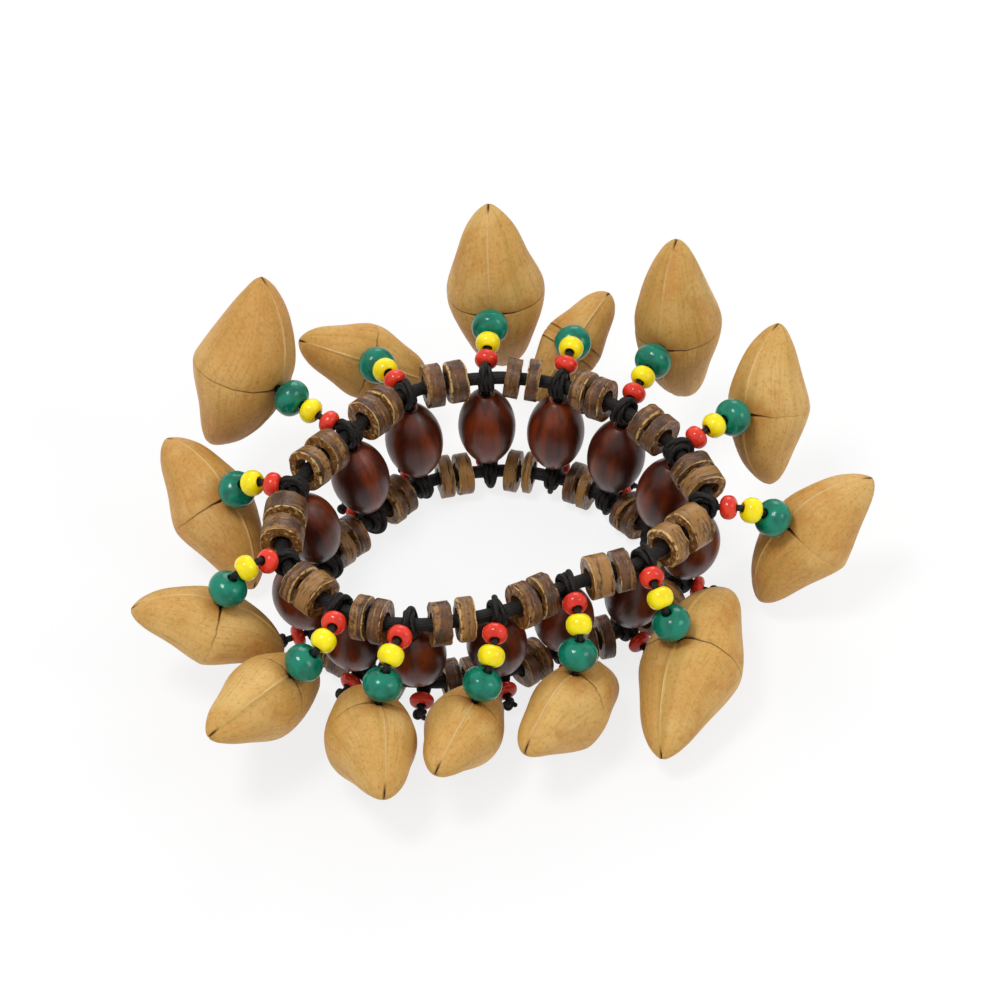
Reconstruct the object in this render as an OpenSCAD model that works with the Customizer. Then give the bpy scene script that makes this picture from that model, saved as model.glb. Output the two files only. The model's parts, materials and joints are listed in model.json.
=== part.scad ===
// Seed shaker bracelet: two elastic rings joined by wooden rungs, each with a dangling hollow nut shell

/* [Elastic rings] */
// Diameter of the elastic cord
elastic_d = 2.2; // [1.4:0.1:3]
// Bare elastic among the two discs of a typical span
bare_elastic = 0.6; // [0.6:0.1:3]
// Size of the lower ring as a share of the upper one
lower_share = 0.88; // [0.84:0.01:0.96]

/* [Coconut discs] */
// Diameter of a disc
disc_d = 8; // [6:0.1:9]
// Thickness of a typical disc
disc_t = 3.6; // [3:0.1:5]
// Rounding of the rim
disc_round = 0.4; // [0.2:0.1:0.8]
// Play between the elastic and a disc's wide bore
disc_play = 0.5; // [0.3:0.05:0.8]

/* [Barrel beads] */
// Largest diameter of a rung's barrel bead
barrel_d = 10; // [8:0.1:11]
// Length of the bead along its rung
barrel_l = 15.2; // [12:0.1:20]
// Diameter of its flat ends
barrel_end_d = 3.4; // [2.8:0.1:5]

/* [Waxed cord] */
// Diameter of the rung cord
cord_d = 1.1; // [0.8:0.1:1.4]
// Bare cord between a wrap and the barrel bead
bare_cord = 0.95; // [0.6:0.05:2]
// Turns round the elastic at each end of a rung
wrap_turns = 3; // [2:1:3]
// Diameter of the knots that end the cord
knot_d = 2.6; // [2:0.1:3.2]

/* [Glass beads] */
// Diameter of the red and yellow beads
glass_d = 4.2; // [3.4:0.1:4.8]
// Length of a red bead
red_l = 2.4; // [2:0.1:3.4]
// Length of a yellow bead
yellow_l = 2.7; // [2:0.1:3.6]

/* [Green beads] */
// Diameter of a green wooden bead
green_d = 6.5; // [5:0.1:8]
// Length of the bead along its strand
green_l = 4.8; // [3.8:0.1:6.5]

/* [Nut shells] */
// Length of a full-size shell from wing tip to wing tip
shell_len = 34; // [28:0.5:38]
// Depth of a full-size shell from its belly to the far corner
shell_depth = 17; // [14:0.5:20]
// Thickness of a full-size shell
shell_thick = 16.5; // [13:0.5:19]
// Wall of the shell
shell_wall = 1.5; // [1:0.1:2.2]
// Width of the pried seam and of the split in each wing tip
seam_w = 0.4; // [0.2:0.05:0.6]

/* [Fits] */
// Play between a cord and the bore round it
bore_play = 0.15; // [0.1:0.01:0.2]
// Gap between a disc and the barrel bead beside it
disc_gap = 0.6; // [0.5:0.05:1]
// Gap between strung pieces that lie against each other
seat_gap = 0.2; // [0.1:0.01:0.3]
// Bare cord on each side of a dangle's hinge
swing_gap = 0.8; // [0.4:0.05:1]
// Gap between the ball that a dangle hangs by and the end of its stem
ball_gap = 0.2; // [0.1:0.05:0.3]

/* [Hidden] */
$fn = 48;

// Each rung's azimuth, and its distance from the centre as a share of the ring radius
RUNGS = [
    [147, 0.90], [119, 0.92], [91, 0.93], [66, 0.96], [42, 1.00], [19, 1.08], [-3, 1.15],
    [-29, 0.94], [-57, 0.77], [-87, 0.84], [-114, 1.00], [-134, 1.10], [-156, 1.15], [176, 1.03]
];
rungs = len(RUNGS);

// The two discs after each rung: their thicknesses as shares of a typical disc, and how far both lean.
// On the lower ring they stand on the table and turn sideways instead
SPAN_DISCS = [
    [1.05, 0.85, 5], [0.90, 1.10, 0], [0.95, 0.80, 6], [0.90, 0.90, -6], [1.00, 0.85, 5], [0.85, 1.00, 6],
    [1.05, 0.85, -5], [0.80, 1.10, 0], [0.95, 0.90, -5], [0.90, 1.00, -4], [0.90, 0.95, 5], [1.00, 0.80, -6],
    [0.95, 0.95, 5], [0.80, 0.85, 9]
];

// Each dangle: lean and pitch of its stem, then azimuth, pitch and roll of its shell,
// and the shell's size, depth and thickness as shares of a full-size one
DANGLES = [
    [5, 10, 140, 5, -70, 1.00, 1.00, 1.15],
    [0, 0, 110, -35, 30, 0.72, 0.95, 1.15],
    [-8, 10, 85, -5, 85, 1.02, 0.95, 1.06],
    [0, 25, 90, -45, 125, 0.68, 1.00, 1.00],
    [15, 10, 65, 0, 85, 1.02, 0.95, 0.92],
    [4, 20, 45, -20, 74, 0.85, 1.00, 1.05],
    [5, 5, 25, -45, 90, 0.85, 1.10, 1.05],
    [-25, 0, -2, -70, 18, 1.08, 0.88, 0.98],
    [-12, 0, -110, -70, -80, 0.88, 1.00, 0.88],
    [-20, -5, -142, -65, -122, 0.82, 0.92, 0.98],
    [-15, 15, -125, -70, -135, 0.84, 1.10, 1.10],
    [25, 10, -175, -50, -140, 0.97, 0.90, 0.87],
    [16, 32, -172, -68, -82, 0.78, 0.92, 1.10],
    [0, 0, 140, -55, 100, 0.88, 1.05, 1.00]
];

// How far the lower ring lies from under the upper one
LOWER_SHIFT = [0.5, 3.5];
// Pitch of the stub that carries a stop bead
STUB_PITCH = -10;
// Where the tilted beads at a bend would touch, as a share of a glass bead's diameter from its middle
BEND_R = 0.4;
// How far a wrap's middle turn lies from its rung, in turns
WRAP_OFFSET = 0.2;
// Step from turn to turn, as a share of the cord's diameter
WRAP_PACK = 0.9;
// Rounding of the beads' edges, as shares of their lengths
GLASS_ROUND = 0.32;
GREEN_ROUND = 0.4;
// Share of a span's spare length that lies outside its discs, at each end
END_SPARE = 0.3;

// Cord and wrap sizes
cord_r = cord_d / 2;
knot_r = knot_d / 2;
cord_bore_r = cord_r + bore_play;
wrap_in_r = elastic_d / 2 + bore_play;
wrap_r = wrap_in_r + cord_d;
disc_bore_r = elastic_d / 2 + disc_play;
wrap_step = cord_d * WRAP_PACK;
wrap_w = wrap_step * (wrap_turns - 1) + cord_d;
rung_span = barrel_l + 2 * (wrap_r + bare_cord);

// Each disc stands clear of the barrel bead beside it
barrel_drop = (barrel_d - barrel_end_d) / 2;
barrel_bulge_r = (barrel_l ^ 2 / 4 + barrel_drop ^ 2) / (2 * barrel_drop);
rim_h = min(rung_span / 2 - disc_d / 2, barrel_l / 2);
rim_r = barrel_d / 2 - barrel_bulge_r + sqrt(barrel_bulge_r ^ 2 - rim_h ^ 2);
disc_at = max(rim_r, wrap_w / 2) + disc_gap;

// How far a wrap's outer turn lies from its rung, and how far a straight dangle reaches from the elastic
turn_out = wrap_step * ((wrap_turns - 1) / 2 + WRAP_OFFSET);
reach = wrap_r + red_l + 2 * swing_gap + yellow_l + green_l + 5 * seat_gap + shell_depth / 2;

// The ring is as large as the beads on it need, or as the shells round it need
bead_pitch = 2 * (disc_t + disc_at) + bare_elastic;
shell_room = max(1.57 * shell_len, 2.85 * shell_depth, 3.05 * shell_thick);
ring_r = max(rungs * bead_pitch / plan_length(), shell_room - reach);
typical_gap = ring_r * plan_length() / rungs - 2 * disc_at;
lower_z = disc_d / 2;

UPPER = [for (k = [0:rungs - 1]) rung_top(k)];
LOWER = [for (k = [0:rungs - 1]) [each lower_xy(k), lower_z]];

NAMES = ["shell", "green_bead", "yellow_bead", "strand"];

function numbered(name, k) = str(name, k < 9 ? "_0" : "_", k + 1);
function unit(v) = v / norm(v);
function heading(az, pitch) = [cos(az) * cos(pitch), sin(az) * cos(pitch), sin(pitch)];

// Layout of the rungs
function plan(k) = RUNGS[k % rungs][1] * [cos(RUNGS[k % rungs][0]), sin(RUNGS[k % rungs][0])];
function plan_length(k = 0) = k == rungs ? 0 : norm(plan(k + 1) - plan(k)) + plan_length(k + 1);
function upper_xy(k) = ring_r * plan(k);
function lower_xy(k) = lower_share * upper_xy(k) + LOWER_SHIFT;
function rung_lean(k) = norm(upper_xy(k) - lower_xy(k));
function rung_top(k) = [each upper_xy(k), lower_z + sqrt(rung_span ^ 2 - rung_lean(k) ^ 2)];
function along(ring, k) = unit(ring[(k + 1) % rungs] - ring[(k + rungs - 1) % rungs]);
function outward_az(ring, k) = atan2(along(ring, k).x, -along(ring, k).y);
function rung_dir(k) = unit(UPPER[k] - LOWER[k]);
function straight(ring, k) = (disc_at + disc_d / 2 * abs(rung_dir(k) * along(ring, k))) * along(ring, k);
function span_start(ring, k) = ring[k] + straight(ring, k);
function span_end(ring, k) = let (n = (k + 1) % rungs) ring[n] - straight(ring, n);

// Layout of a dangle, whose red bead sits clear of the wrap's outer turn where its stem leans,
// and whose bent strand opens a gap between its yellow and green beads
function stem_dir(k) = heading(outward_az(UPPER, k) + DANGLES[k][0], DANGLES[k][1]);
function stem_lean(k) = abs(asin(stem_dir(k) * along(UPPER, k)));
function red_at(k) = (wrap_r - cord_r) * cos(stem_lean(k)) + turn_out * sin(stem_lean(k)) + cord_r + seat_gap;
function hinge_at(k) = red_at(k) + red_l + swing_gap;
function shell_dir(k) = heading(DANGLES[k][2], DANGLES[k][3]);
function bead_dir(k) = unit(stem_dir(k) + shell_dir(k));
function bend_gap(k) = seat_gap + BEND_R * glass_d * tan(acos(bead_dir(k) * shell_dir(k)) / 2);
function green_at(k) = bend_gap(k) + green_l / 2;
function hole_at(k) = bend_gap(k) + green_l + seat_gap;
function hinge(k) = UPPER[k] + hinge_at(k) * stem_dir(k);
function bend(k) = hinge(k) + (swing_gap + yellow_l + bend_gap(k)) * bead_dir(k);
function hole(k) = bend(k) + hole_at(k) * shell_dir(k);

// A tube swept round a closed or along an open path of points, with a radius for each point
function frame_x(d) = unit(cross(abs(d.z) > 0.9 ? [1, 0, 0] : [0, 0, 1], d));
function tube_ring(p, d, r, sides) = let (x = frame_x(d), y = cross(d, x))
    [for (a = [0:360 / sides:359]) p + r * (cos(a) * x + sin(a) * y)];
function tube_faces(rings, sides, closed) = [
    for (i = [0:rings - (closed ? 1 : 2)], j = [0:sides - 1])
        let (a = i * sides, b = (i + 1) % rings * sides, n = (j + 1) % sides)
            each [[a + j, b + n, a + n], [a + j, b + j, b + n]]
];
function cap_faces(first, sides, flip) = [
    for (j = [1:sides - 2]) flip ? [first, first + j + 1, first + j] : [first, first + j, first + j + 1]
];

// Outline of a nut shell at u from -1 to 1, wing tip to wing tip: middle, half depth and half thickness there
TIP_SHARE = 0.58;
TIP_R = 1.2;
END_U = 0.985;
KEEL_H = 0.3;
GROOVE_U = 0.03;
GROOVE_H = 0.35;
function belly(a, depth) = TIP_SHARE * depth * a ^ 2.2;
function back(a, depth) = depth * (1 - (1 - TIP_SHARE) * a);
function tip_cap(a) = sqrt(1 - a ^ 16);
function half_depth(a, depth) = ((back(a, depth) - belly(a, depth)) / 2 + TIP_R * a) * tip_cap(a);
function half_thick(a, thick) =
    (thick / 2 * (1 - a ^ 1.7) ^ 0.85 * (1 - 0.12 * sin(180 * a) ^ 2) + TIP_R * a) * tip_cap(a);
function groove(a) = a < GROOVE_U / 2 ? GROOVE_H : 0;
function keel(a, q) = q == 180 ? KEEL_H * sin(180 * a) : 0;
function shell_ring(u, size, inset, sides) =
    let (a = abs(u), cut = inset + groove(a), mid = (belly(a, size.x) + back(a, size.x)) / 2)
        [for (q = [0:360 / sides:359]) [
            mid + (half_depth(a, size.x) + keel(a, q) - cut) * cos(q),
            u * size.y / 2,
            (cut - half_thick(a, size.z)) * sin(q)
        ]];

// Half section of a bead, with its outer edges rounded
module bead_profile(bore_r, outer_r, length, round_r) {
    intersection() {
        union() {
            translate([0, -length / 2]) square([outer_r - round_r, length]);
            translate([0, -length / 2 + round_r]) square([outer_r, length - 2 * round_r]);
            for (side = [-1, 1])
                translate([outer_r - round_r, side * (length / 2 - round_r)]) circle(round_r);
        }
        translate([bore_r, -length]) square([outer_r, 2 * length]);
    }
}

module bead(bore_r, d, length, round_r) {
    rotate_extrude() bead_profile(bore_r, d / 2, length, round_r);
}

module aim(place, dir) {
    translate(place) rotate([0, acos(dir.z), atan2(dir.y, dir.x)]) children();
}

module rod(place, dir, from, to, r) {
    aim(place + from * dir, dir) cylinder(h = to - from, r = r);
}

module barrel() {
    rotate_extrude() intersection() {
        translate([barrel_d / 2 - barrel_bulge_r, 0]) circle(barrel_bulge_r, $fn = 160);
        translate([cord_bore_r, -barrel_l / 2]) square([barrel_d, barrel_l]);
    }
}

module wrap() {
    rotate_extrude()
        for (i = [0:wrap_turns - 1])
            translate([wrap_in_r + cord_r, (i - (wrap_turns - 1) / 2 + WRAP_OFFSET) * wrap_step])
                rotate(22.5) circle(cord_r, $fn = 8);
}

// Half section of the stub end of a cord, with the knot that stops its bead
module stub_profile(from, to) {
    intersection() {
        union() {
            translate([0, from]) square([cord_r, to - from]);
            translate([0, to]) circle(knot_r);
        }
        square([knot_r, to + knot_r]);
    }
}

module elastic(ring) {
    sides = 8;
    path = [for (k = [0:rungs - 1]) each [ring[k] - straight(ring, k), span_start(ring, k)]];
    n = len(path);
    points = [for (i = [0:n - 1])
        each tube_ring(path[i], unit(path[(i + 1) % n] - path[(i + n - 1) % n]), elastic_d / 2, sides)];
    polyhedron(points, tube_faces(n, sides, true));
}

module rung_cord(k) {
    stub = heading(outward_az(LOWER, k), STUB_PITCH);
    stub_end = wrap_r + 2 * seat_gap + red_l;
    aim(LOWER[k], along(LOWER, k)) wrap();
    aim(UPPER[k], along(UPPER, k)) wrap();
    rod(LOWER[k], rung_dir(k), wrap_r - cord_r, rung_span - wrap_r + cord_r, cord_r);
    rod(UPPER[k], stem_dir(k), wrap_r - cord_r, hinge_at(k) - cord_r - ball_gap, cord_r);
    aim(LOWER[k], stub) rotate_extrude() stub_profile(wrap_r - cord_r, stub_end + knot_r);
}

module span_discs(ring, k) {
    start = span_start(ring, k);
    gap = span_end(ring, k) - start;
    row = SPAN_DISCS[k];
    t = [for (i = [0, 1]) row[i] * disc_t * norm(gap) / typical_gap];
    spare = norm(gap) - t[0] - t[1];
    lean = ring == UPPER ? [0, row[2], 0] : [row[2], 0, 0];
    for (at = [[END_SPARE * spare + t[0] / 2, t[0]], [norm(gap) - END_SPARE * spare - t[1] / 2, t[1]]])
        aim(start + at[0] * unit(gap), unit(gap))
            rotate(lean) bead(disc_bore_r, disc_d, at[1], disc_round);
}

module shell_loft(size, stations, sides, inset) {
    points = [for (u = stations) each shell_ring(u, size, inset, sides)];
    n = len(stations);
    polyhedron(points, concat(
        tube_faces(n, sides, false),
        cap_faces(0, sides, false),
        cap_faces((n - 1) * sides, sides, true)
    ));
}

module nut_shell(size) {
    wing = [for (i = [1:6]) END_U * sin(15 * i)];
    half = [GROOVE_U, each wing];
    outer = [each [for (i = [len(half) - 1:-1:0]) -half[i]], 0, each half];
    hollow = [-0.8, -0.6, -0.32, 0, 0.32, 0.6, 0.8];
    split_l = 0.1 * size.y;
    difference() {
        shell_loft(size, outer, 16, 0);
        shell_loft(size, hollow, 10, shell_wall);
        translate([-1, 0, 0]) rotate([0, 90, 0]) cylinder(h = 1 + 2 * shell_wall, r = cord_bore_r);
        translate([-1, -seam_w / 2, -size.z / 4]) cube([1 + size.x / 4, seam_w, size.z / 2]);
        for (side = [-1, 1])
            translate([0, side * (size.y - split_l) / 2 - split_l / 2, -seam_w / 2])
                cube([size.x, split_l, seam_w]);
    }
}

module cords() {
    color("#17171a") {
        elastic(UPPER);
        elastic(LOWER);
        for (k = [0:rungs - 1]) rung_cord(k);
    }
}

module coconut_discs() {
    color("#6b4a30") for (ring = [UPPER, LOWER], k = [0:rungs - 1]) span_discs(ring, k);
}

module barrel_beads() {
    color("#4a1e12") for (k = [0:rungs - 1])
        aim((UPPER[k] + LOWER[k]) / 2, rung_dir(k)) barrel();
}

module red_beads() {
    stop_at = wrap_r + seat_gap + red_l / 2;
    color("#d8392b") for (k = [0:rungs - 1]) {
        stub = heading(outward_az(LOWER, k), STUB_PITCH);
        aim(UPPER[k] + (red_at(k) + red_l / 2) * stem_dir(k), stem_dir(k))
            bead(cord_bore_r, glass_d, red_l, red_l * GLASS_ROUND);
        aim(LOWER[k] + stop_at * stub, stub) bead(cord_bore_r, glass_d, red_l, red_l * GLASS_ROUND);
    }
}

module shell(k) {
    d = DANGLES[k];
    size = d[5] * [shell_depth * d[6], shell_len, shell_thick * d[7]];
    color("#c69652") translate(hole(k)) rotate([0, -d[3], d[2]]) rotate([d[4], 0, 0]) nut_shell(size);
}

module green_bead(k) {
    color("#0b7a58") aim(bend(k) + green_at(k) * shell_dir(k), shell_dir(k))
        bead(cord_bore_r, green_d, green_l, green_l * GREEN_ROUND);
}

module yellow_bead(k) {
    at = swing_gap + yellow_l / 2;
    color("#f2dc1c") aim(hinge(k) + at * bead_dir(k), bead_dir(k))
        bead(cord_bore_r, glass_d, yellow_l, yellow_l * GLASS_ROUND);
}

module strand(k) {
    sides = 8;
    knot_at = hole_at(k) + shell_wall + GROOVE_H + seat_gap + knot_r;
    ball = [for (a = [-75, -35, 0]) [hinge(k) + cord_r * sin(a) * bead_dir(k), bead_dir(k), cord_r * cos(a)]];
    run = [[bend(k), unit(bead_dir(k) + shell_dir(k)), cord_r], [hole(k), shell_dir(k), cord_r]];
    knot = [for (a = [-65, -35, 0, 35, 70])
        [bend(k) + (knot_at + knot_r * sin(a)) * shell_dir(k), shell_dir(k), knot_r * cos(a)]];
    path = [each ball, each run, each knot];
    n = len(path);
    points = [for (p = path) each tube_ring(p[0], p[1], p[2], sides)];
    color("#17171a") polyhedron(points, concat(
        tube_faces(n, sides, false),
        cap_faces(0, sides, false),
        cap_faces((n - 1) * sides, sides, true)
    ));
}

cords();
coconut_discs();
barrel_beads();
red_beads();
for (k = [0:rungs - 1]) {
    shell(k);
    green_bead(k);
    yellow_bead(k);
    strand(k);
}
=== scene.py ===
"""Seed shaker bracelet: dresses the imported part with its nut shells, beads, coconut discs and cords."""

import json
import logging
import math
from dataclasses import dataclass, field
from enum import Enum
from typing import ClassVar, Iterable, Sequence

import bmesh
import bpy
from mathutils import Matrix, Vector, noise

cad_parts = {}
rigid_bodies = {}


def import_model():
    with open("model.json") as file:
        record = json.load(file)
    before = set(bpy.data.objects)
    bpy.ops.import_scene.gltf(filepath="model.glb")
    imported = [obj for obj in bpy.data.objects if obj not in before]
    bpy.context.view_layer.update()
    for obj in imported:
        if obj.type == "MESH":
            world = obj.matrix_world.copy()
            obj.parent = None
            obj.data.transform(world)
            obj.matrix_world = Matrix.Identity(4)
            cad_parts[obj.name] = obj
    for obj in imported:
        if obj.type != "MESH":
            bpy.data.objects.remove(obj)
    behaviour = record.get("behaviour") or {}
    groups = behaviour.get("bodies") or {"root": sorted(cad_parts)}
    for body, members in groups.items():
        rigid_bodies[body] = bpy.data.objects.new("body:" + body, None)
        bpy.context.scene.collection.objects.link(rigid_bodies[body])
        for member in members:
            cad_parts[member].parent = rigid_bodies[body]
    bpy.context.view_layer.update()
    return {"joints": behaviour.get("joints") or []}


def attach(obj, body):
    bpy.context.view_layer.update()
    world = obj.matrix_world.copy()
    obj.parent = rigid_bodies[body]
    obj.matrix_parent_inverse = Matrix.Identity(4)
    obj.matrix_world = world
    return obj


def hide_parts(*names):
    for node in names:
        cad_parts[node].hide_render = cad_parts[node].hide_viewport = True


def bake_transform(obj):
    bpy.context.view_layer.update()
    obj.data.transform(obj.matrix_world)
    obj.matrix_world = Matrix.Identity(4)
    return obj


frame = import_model()

log = logging.getLogger("bracelet")

MM = 0.001
BAND = "band"
PLAIN = "NodeSocketFloat"
VECTOR = "NodeSocketVector"
Rgb = tuple[int, int, int]
Profile = list[tuple[float, float, float]]
Socket = bpy.types.NodeSocket
Feed = Socket | float | Sequence[float]


class Ring(Enum):
    """The two elastic rings of the band."""

    UPPER = "upper"
    LOWER = "lower"


class Zone(Enum):
    """Which face of a turned bead a point lies on, as its finish reads it."""

    SIDE = 0.0
    EDGE = 0.5
    FACE = 1.0


class Mark(Enum):
    """The drawn features of a nut shell, each a painted mask; the seam and slit masks also carry painted
    shade.
    """

    SEAM = "seam"
    KEEL = "keel"
    SLIT = "slit"
    STAIN = "stain"


class Salt(Enum):
    """What a scattered value is for, so that no two uses repeat each other."""

    HUSK_TONE = 1.7
    CRACK = 14.5
    DISC_SPIN = 0.3
    DISC_TONE = 2.9
    BARREL_SPIN = 0.8
    BARREL_TONE = 4.1
    RED_SPIN = 3.3
    YELLOW_WIDTH = 7.7
    YELLOW_SPIN = 1.1
    GREEN_SPIN = 1.5
    HITCH_HAND = 8.8
    KNOT_SPIN = 5.5


# Sizes in mm, the same as in the part's source


@dataclass(frozen=True)
class CordSizes:
    """Sizes of the elastic, the waxed cord and its knots."""

    elastic_d: float = 2.2
    cord_d: float = 1.1
    bare: float = 0.95
    turns: int = 3
    turn_pack: float = 0.9
    turn_offset: float = 0.2
    knot_d: float = 2.6


@dataclass(frozen=True)
class BeadSizes:
    """Sizes of the coconut discs, the barrels and the small beads of a dangle."""

    disc_d: float = 8.0
    disc_t: float = 3.6
    disc_bore_d: float = 3.2
    barrel_d: float = 10.0
    barrel_l: float = 15.2
    barrel_end_d: float = 3.4
    glass_d: float = 4.2
    red_l: float = 2.4
    yellow_l: float = 2.7
    green_d: float = 6.5
    green_l: float = 4.8


@dataclass(frozen=True)
class ShellSizes:
    """Sizes of a full-size nut shell."""

    length: float = 34.0
    depth: float = 17.0
    thick: float = 16.5
    tip_share: float = 0.58
    tip_r: float = 1.2
    keel_h: float = 0.3


@dataclass(frozen=True)
class Fits:
    """Gaps between strung pieces, and the room that the small beads' domed ends keep as they tilt."""

    bore_play: float = 0.15
    bare_elastic: float = 0.6
    disc_gap: float = 0.6
    seat_gap: float = 0.2
    swing_gap: float = 0.8
    end_spare: float = 0.3
    lower_share: float = 0.88
    lower_shift: tuple[float, float] = (0.5, 3.5)
    stub_pitch: float = -10.0
    bend_r: float = 0.4
    tilt_room: float = 1.1
    touch_gap: float = 0.04
    room_shares: tuple[float, float, float] = (1.57, 2.85, 3.05)


@dataclass(frozen=True)
class Rung:
    """A rung's azimuth, its distance as a share of the ring radius, and the two discs after it.

    The discs are shares of a typical disc's thickness, and both have the same lean.
    """

    azimuth: float
    share: float
    discs: tuple[float, float]
    lean: float


@dataclass(frozen=True)
class Dangle:
    """A dangle's stem lean and pitch, its shell's angles, and the shell's shares of a full-size one."""

    lean: float
    stem_pitch: float
    azimuth: float
    pitch: float
    roll: float
    size: float
    depth: float
    thick: float


RUNGS: tuple[Rung, ...] = (
    Rung(147, 0.90, (1.05, 0.85), 5),
    Rung(119, 0.92, (0.90, 1.10), 0),
    Rung(91, 0.93, (0.95, 0.80), 6),
    Rung(66, 0.96, (0.90, 0.90), -6),
    Rung(42, 1.00, (1.00, 0.85), 5),
    Rung(19, 1.08, (0.85, 1.00), 6),
    Rung(-3, 1.15, (1.05, 0.85), -5),
    Rung(-29, 0.94, (0.80, 1.10), 0),
    Rung(-57, 0.77, (0.95, 0.90), -5),
    Rung(-87, 0.84, (0.90, 1.00), -4),
    Rung(-114, 1.00, (0.90, 0.95), 5),
    Rung(-134, 1.10, (1.00, 0.80), -6),
    Rung(-156, 1.15, (0.95, 0.95), 5),
    Rung(176, 1.03, (0.80, 0.85), 9),
)

DANGLES: tuple[Dangle, ...] = (
    Dangle(5, 10, 140, 5, -70, 1.00, 1.00, 1.15),
    Dangle(0, 0, 110, -35, 30, 0.72, 0.95, 1.15),
    Dangle(-8, 10, 85, -5, 85, 1.02, 0.95, 1.06),
    Dangle(0, 25, 90, -45, 125, 0.68, 1.00, 1.00),
    Dangle(15, 10, 65, 0, 85, 1.02, 0.95, 0.92),
    Dangle(4, 20, 45, -20, 74, 0.85, 1.00, 1.05),
    Dangle(5, 5, 25, -45, 90, 0.85, 1.10, 1.05),
    Dangle(-25, 0, -2, -70, 18, 1.08, 0.88, 0.98),
    Dangle(-12, 0, -110, -70, -80, 0.88, 1.00, 0.88),
    Dangle(-20, -5, -142, -65, -122, 0.82, 0.92, 0.98),
    Dangle(-15, 15, -125, -70, -135, 0.84, 1.10, 1.10),
    Dangle(25, 10, -175, -50, -140, 0.97, 0.90, 0.87),
    Dangle(16, 32, -172, -68, -82, 0.78, 0.92, 1.10),
    Dangle(0, 0, 140, -55, 100, 0.88, 1.05, 1.00),
)


def heading(azimuth: float, pitch: float) -> Vector:
    """Unit vector at an azimuth and a pitch in degrees."""
    a, p = math.radians(azimuth), math.radians(pitch)
    return Vector((math.cos(a) * math.cos(p), math.sin(a) * math.cos(p), math.sin(p)))


def around(radius: float, angle: float, height: float) -> Vector:
    """Point at a radius and an angle in radians about Z, at a height."""
    return Vector((radius * math.cos(angle), radius * math.sin(angle), height))


def numbered(name: str, k: int) -> str:
    """Name of a piece of dangle k, counted from 01."""
    return f"{name}_{k + 1:02d}"


def scatter(k: int, salt: Salt) -> float:
    """Fixed value from 0 to 1 that differs from piece to piece."""
    return math.fmod(abs(math.sin((k + 1) * 12.9898 + salt.value * 78.233) * 43758.5453), 1.0)


def ripple(at: Vector) -> float:
    """Smooth value from 0 to 1 that differs from place to place."""
    return 0.5 + 0.5 * noise.noise(at)


def fade(distance: float, reach: float) -> float:
    """Value that falls from 1 at no distance to 0 at a reach."""
    return max(0.0, 1 - distance / reach)


def aim(axis: Vector, spin: float = 0.0) -> Matrix:
    """Turn that takes a piece's own Z to an axis.

    Args:
        axis: Direction for the piece's Z.
        spin: Turn about Z before that, in degrees.

    Returns:
        A 3 by 3 rotation.
    """
    unit = axis.normalized()
    tilt = Matrix.Rotation(math.acos(max(-1.0, min(1.0, unit.z))), 3, "Y")
    azimuth = Matrix.Rotation(math.atan2(unit.y, unit.x), 3, "Z")
    return azimuth @ tilt @ Matrix.Rotation(math.radians(spin), 3, "Z")


def aim_with_side(axis: Vector, side: Vector) -> Matrix:
    """Turn that takes a piece's own Z to an axis, and its X as near to a side as it can be.

    Args:
        axis: Direction for the piece's Z.
        side: Direction that its X leans to.

    Returns:
        A 3 by 3 rotation.
    """
    z = axis.normalized()
    x = (side - side.dot(z) * z).normalized()
    return Matrix((x, z.cross(x), z)).transposed()


@dataclass(frozen=True)
class Spot:
    """Where one repeated piece goes: its place in mm, its turn, its stretch, its tone and its pattern."""

    place: Vector
    turn: Matrix
    stretch: tuple[float, float, float] = (1.0, 1.0, 1.0)
    tone: float = 0.5
    pattern: int = 0


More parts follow.
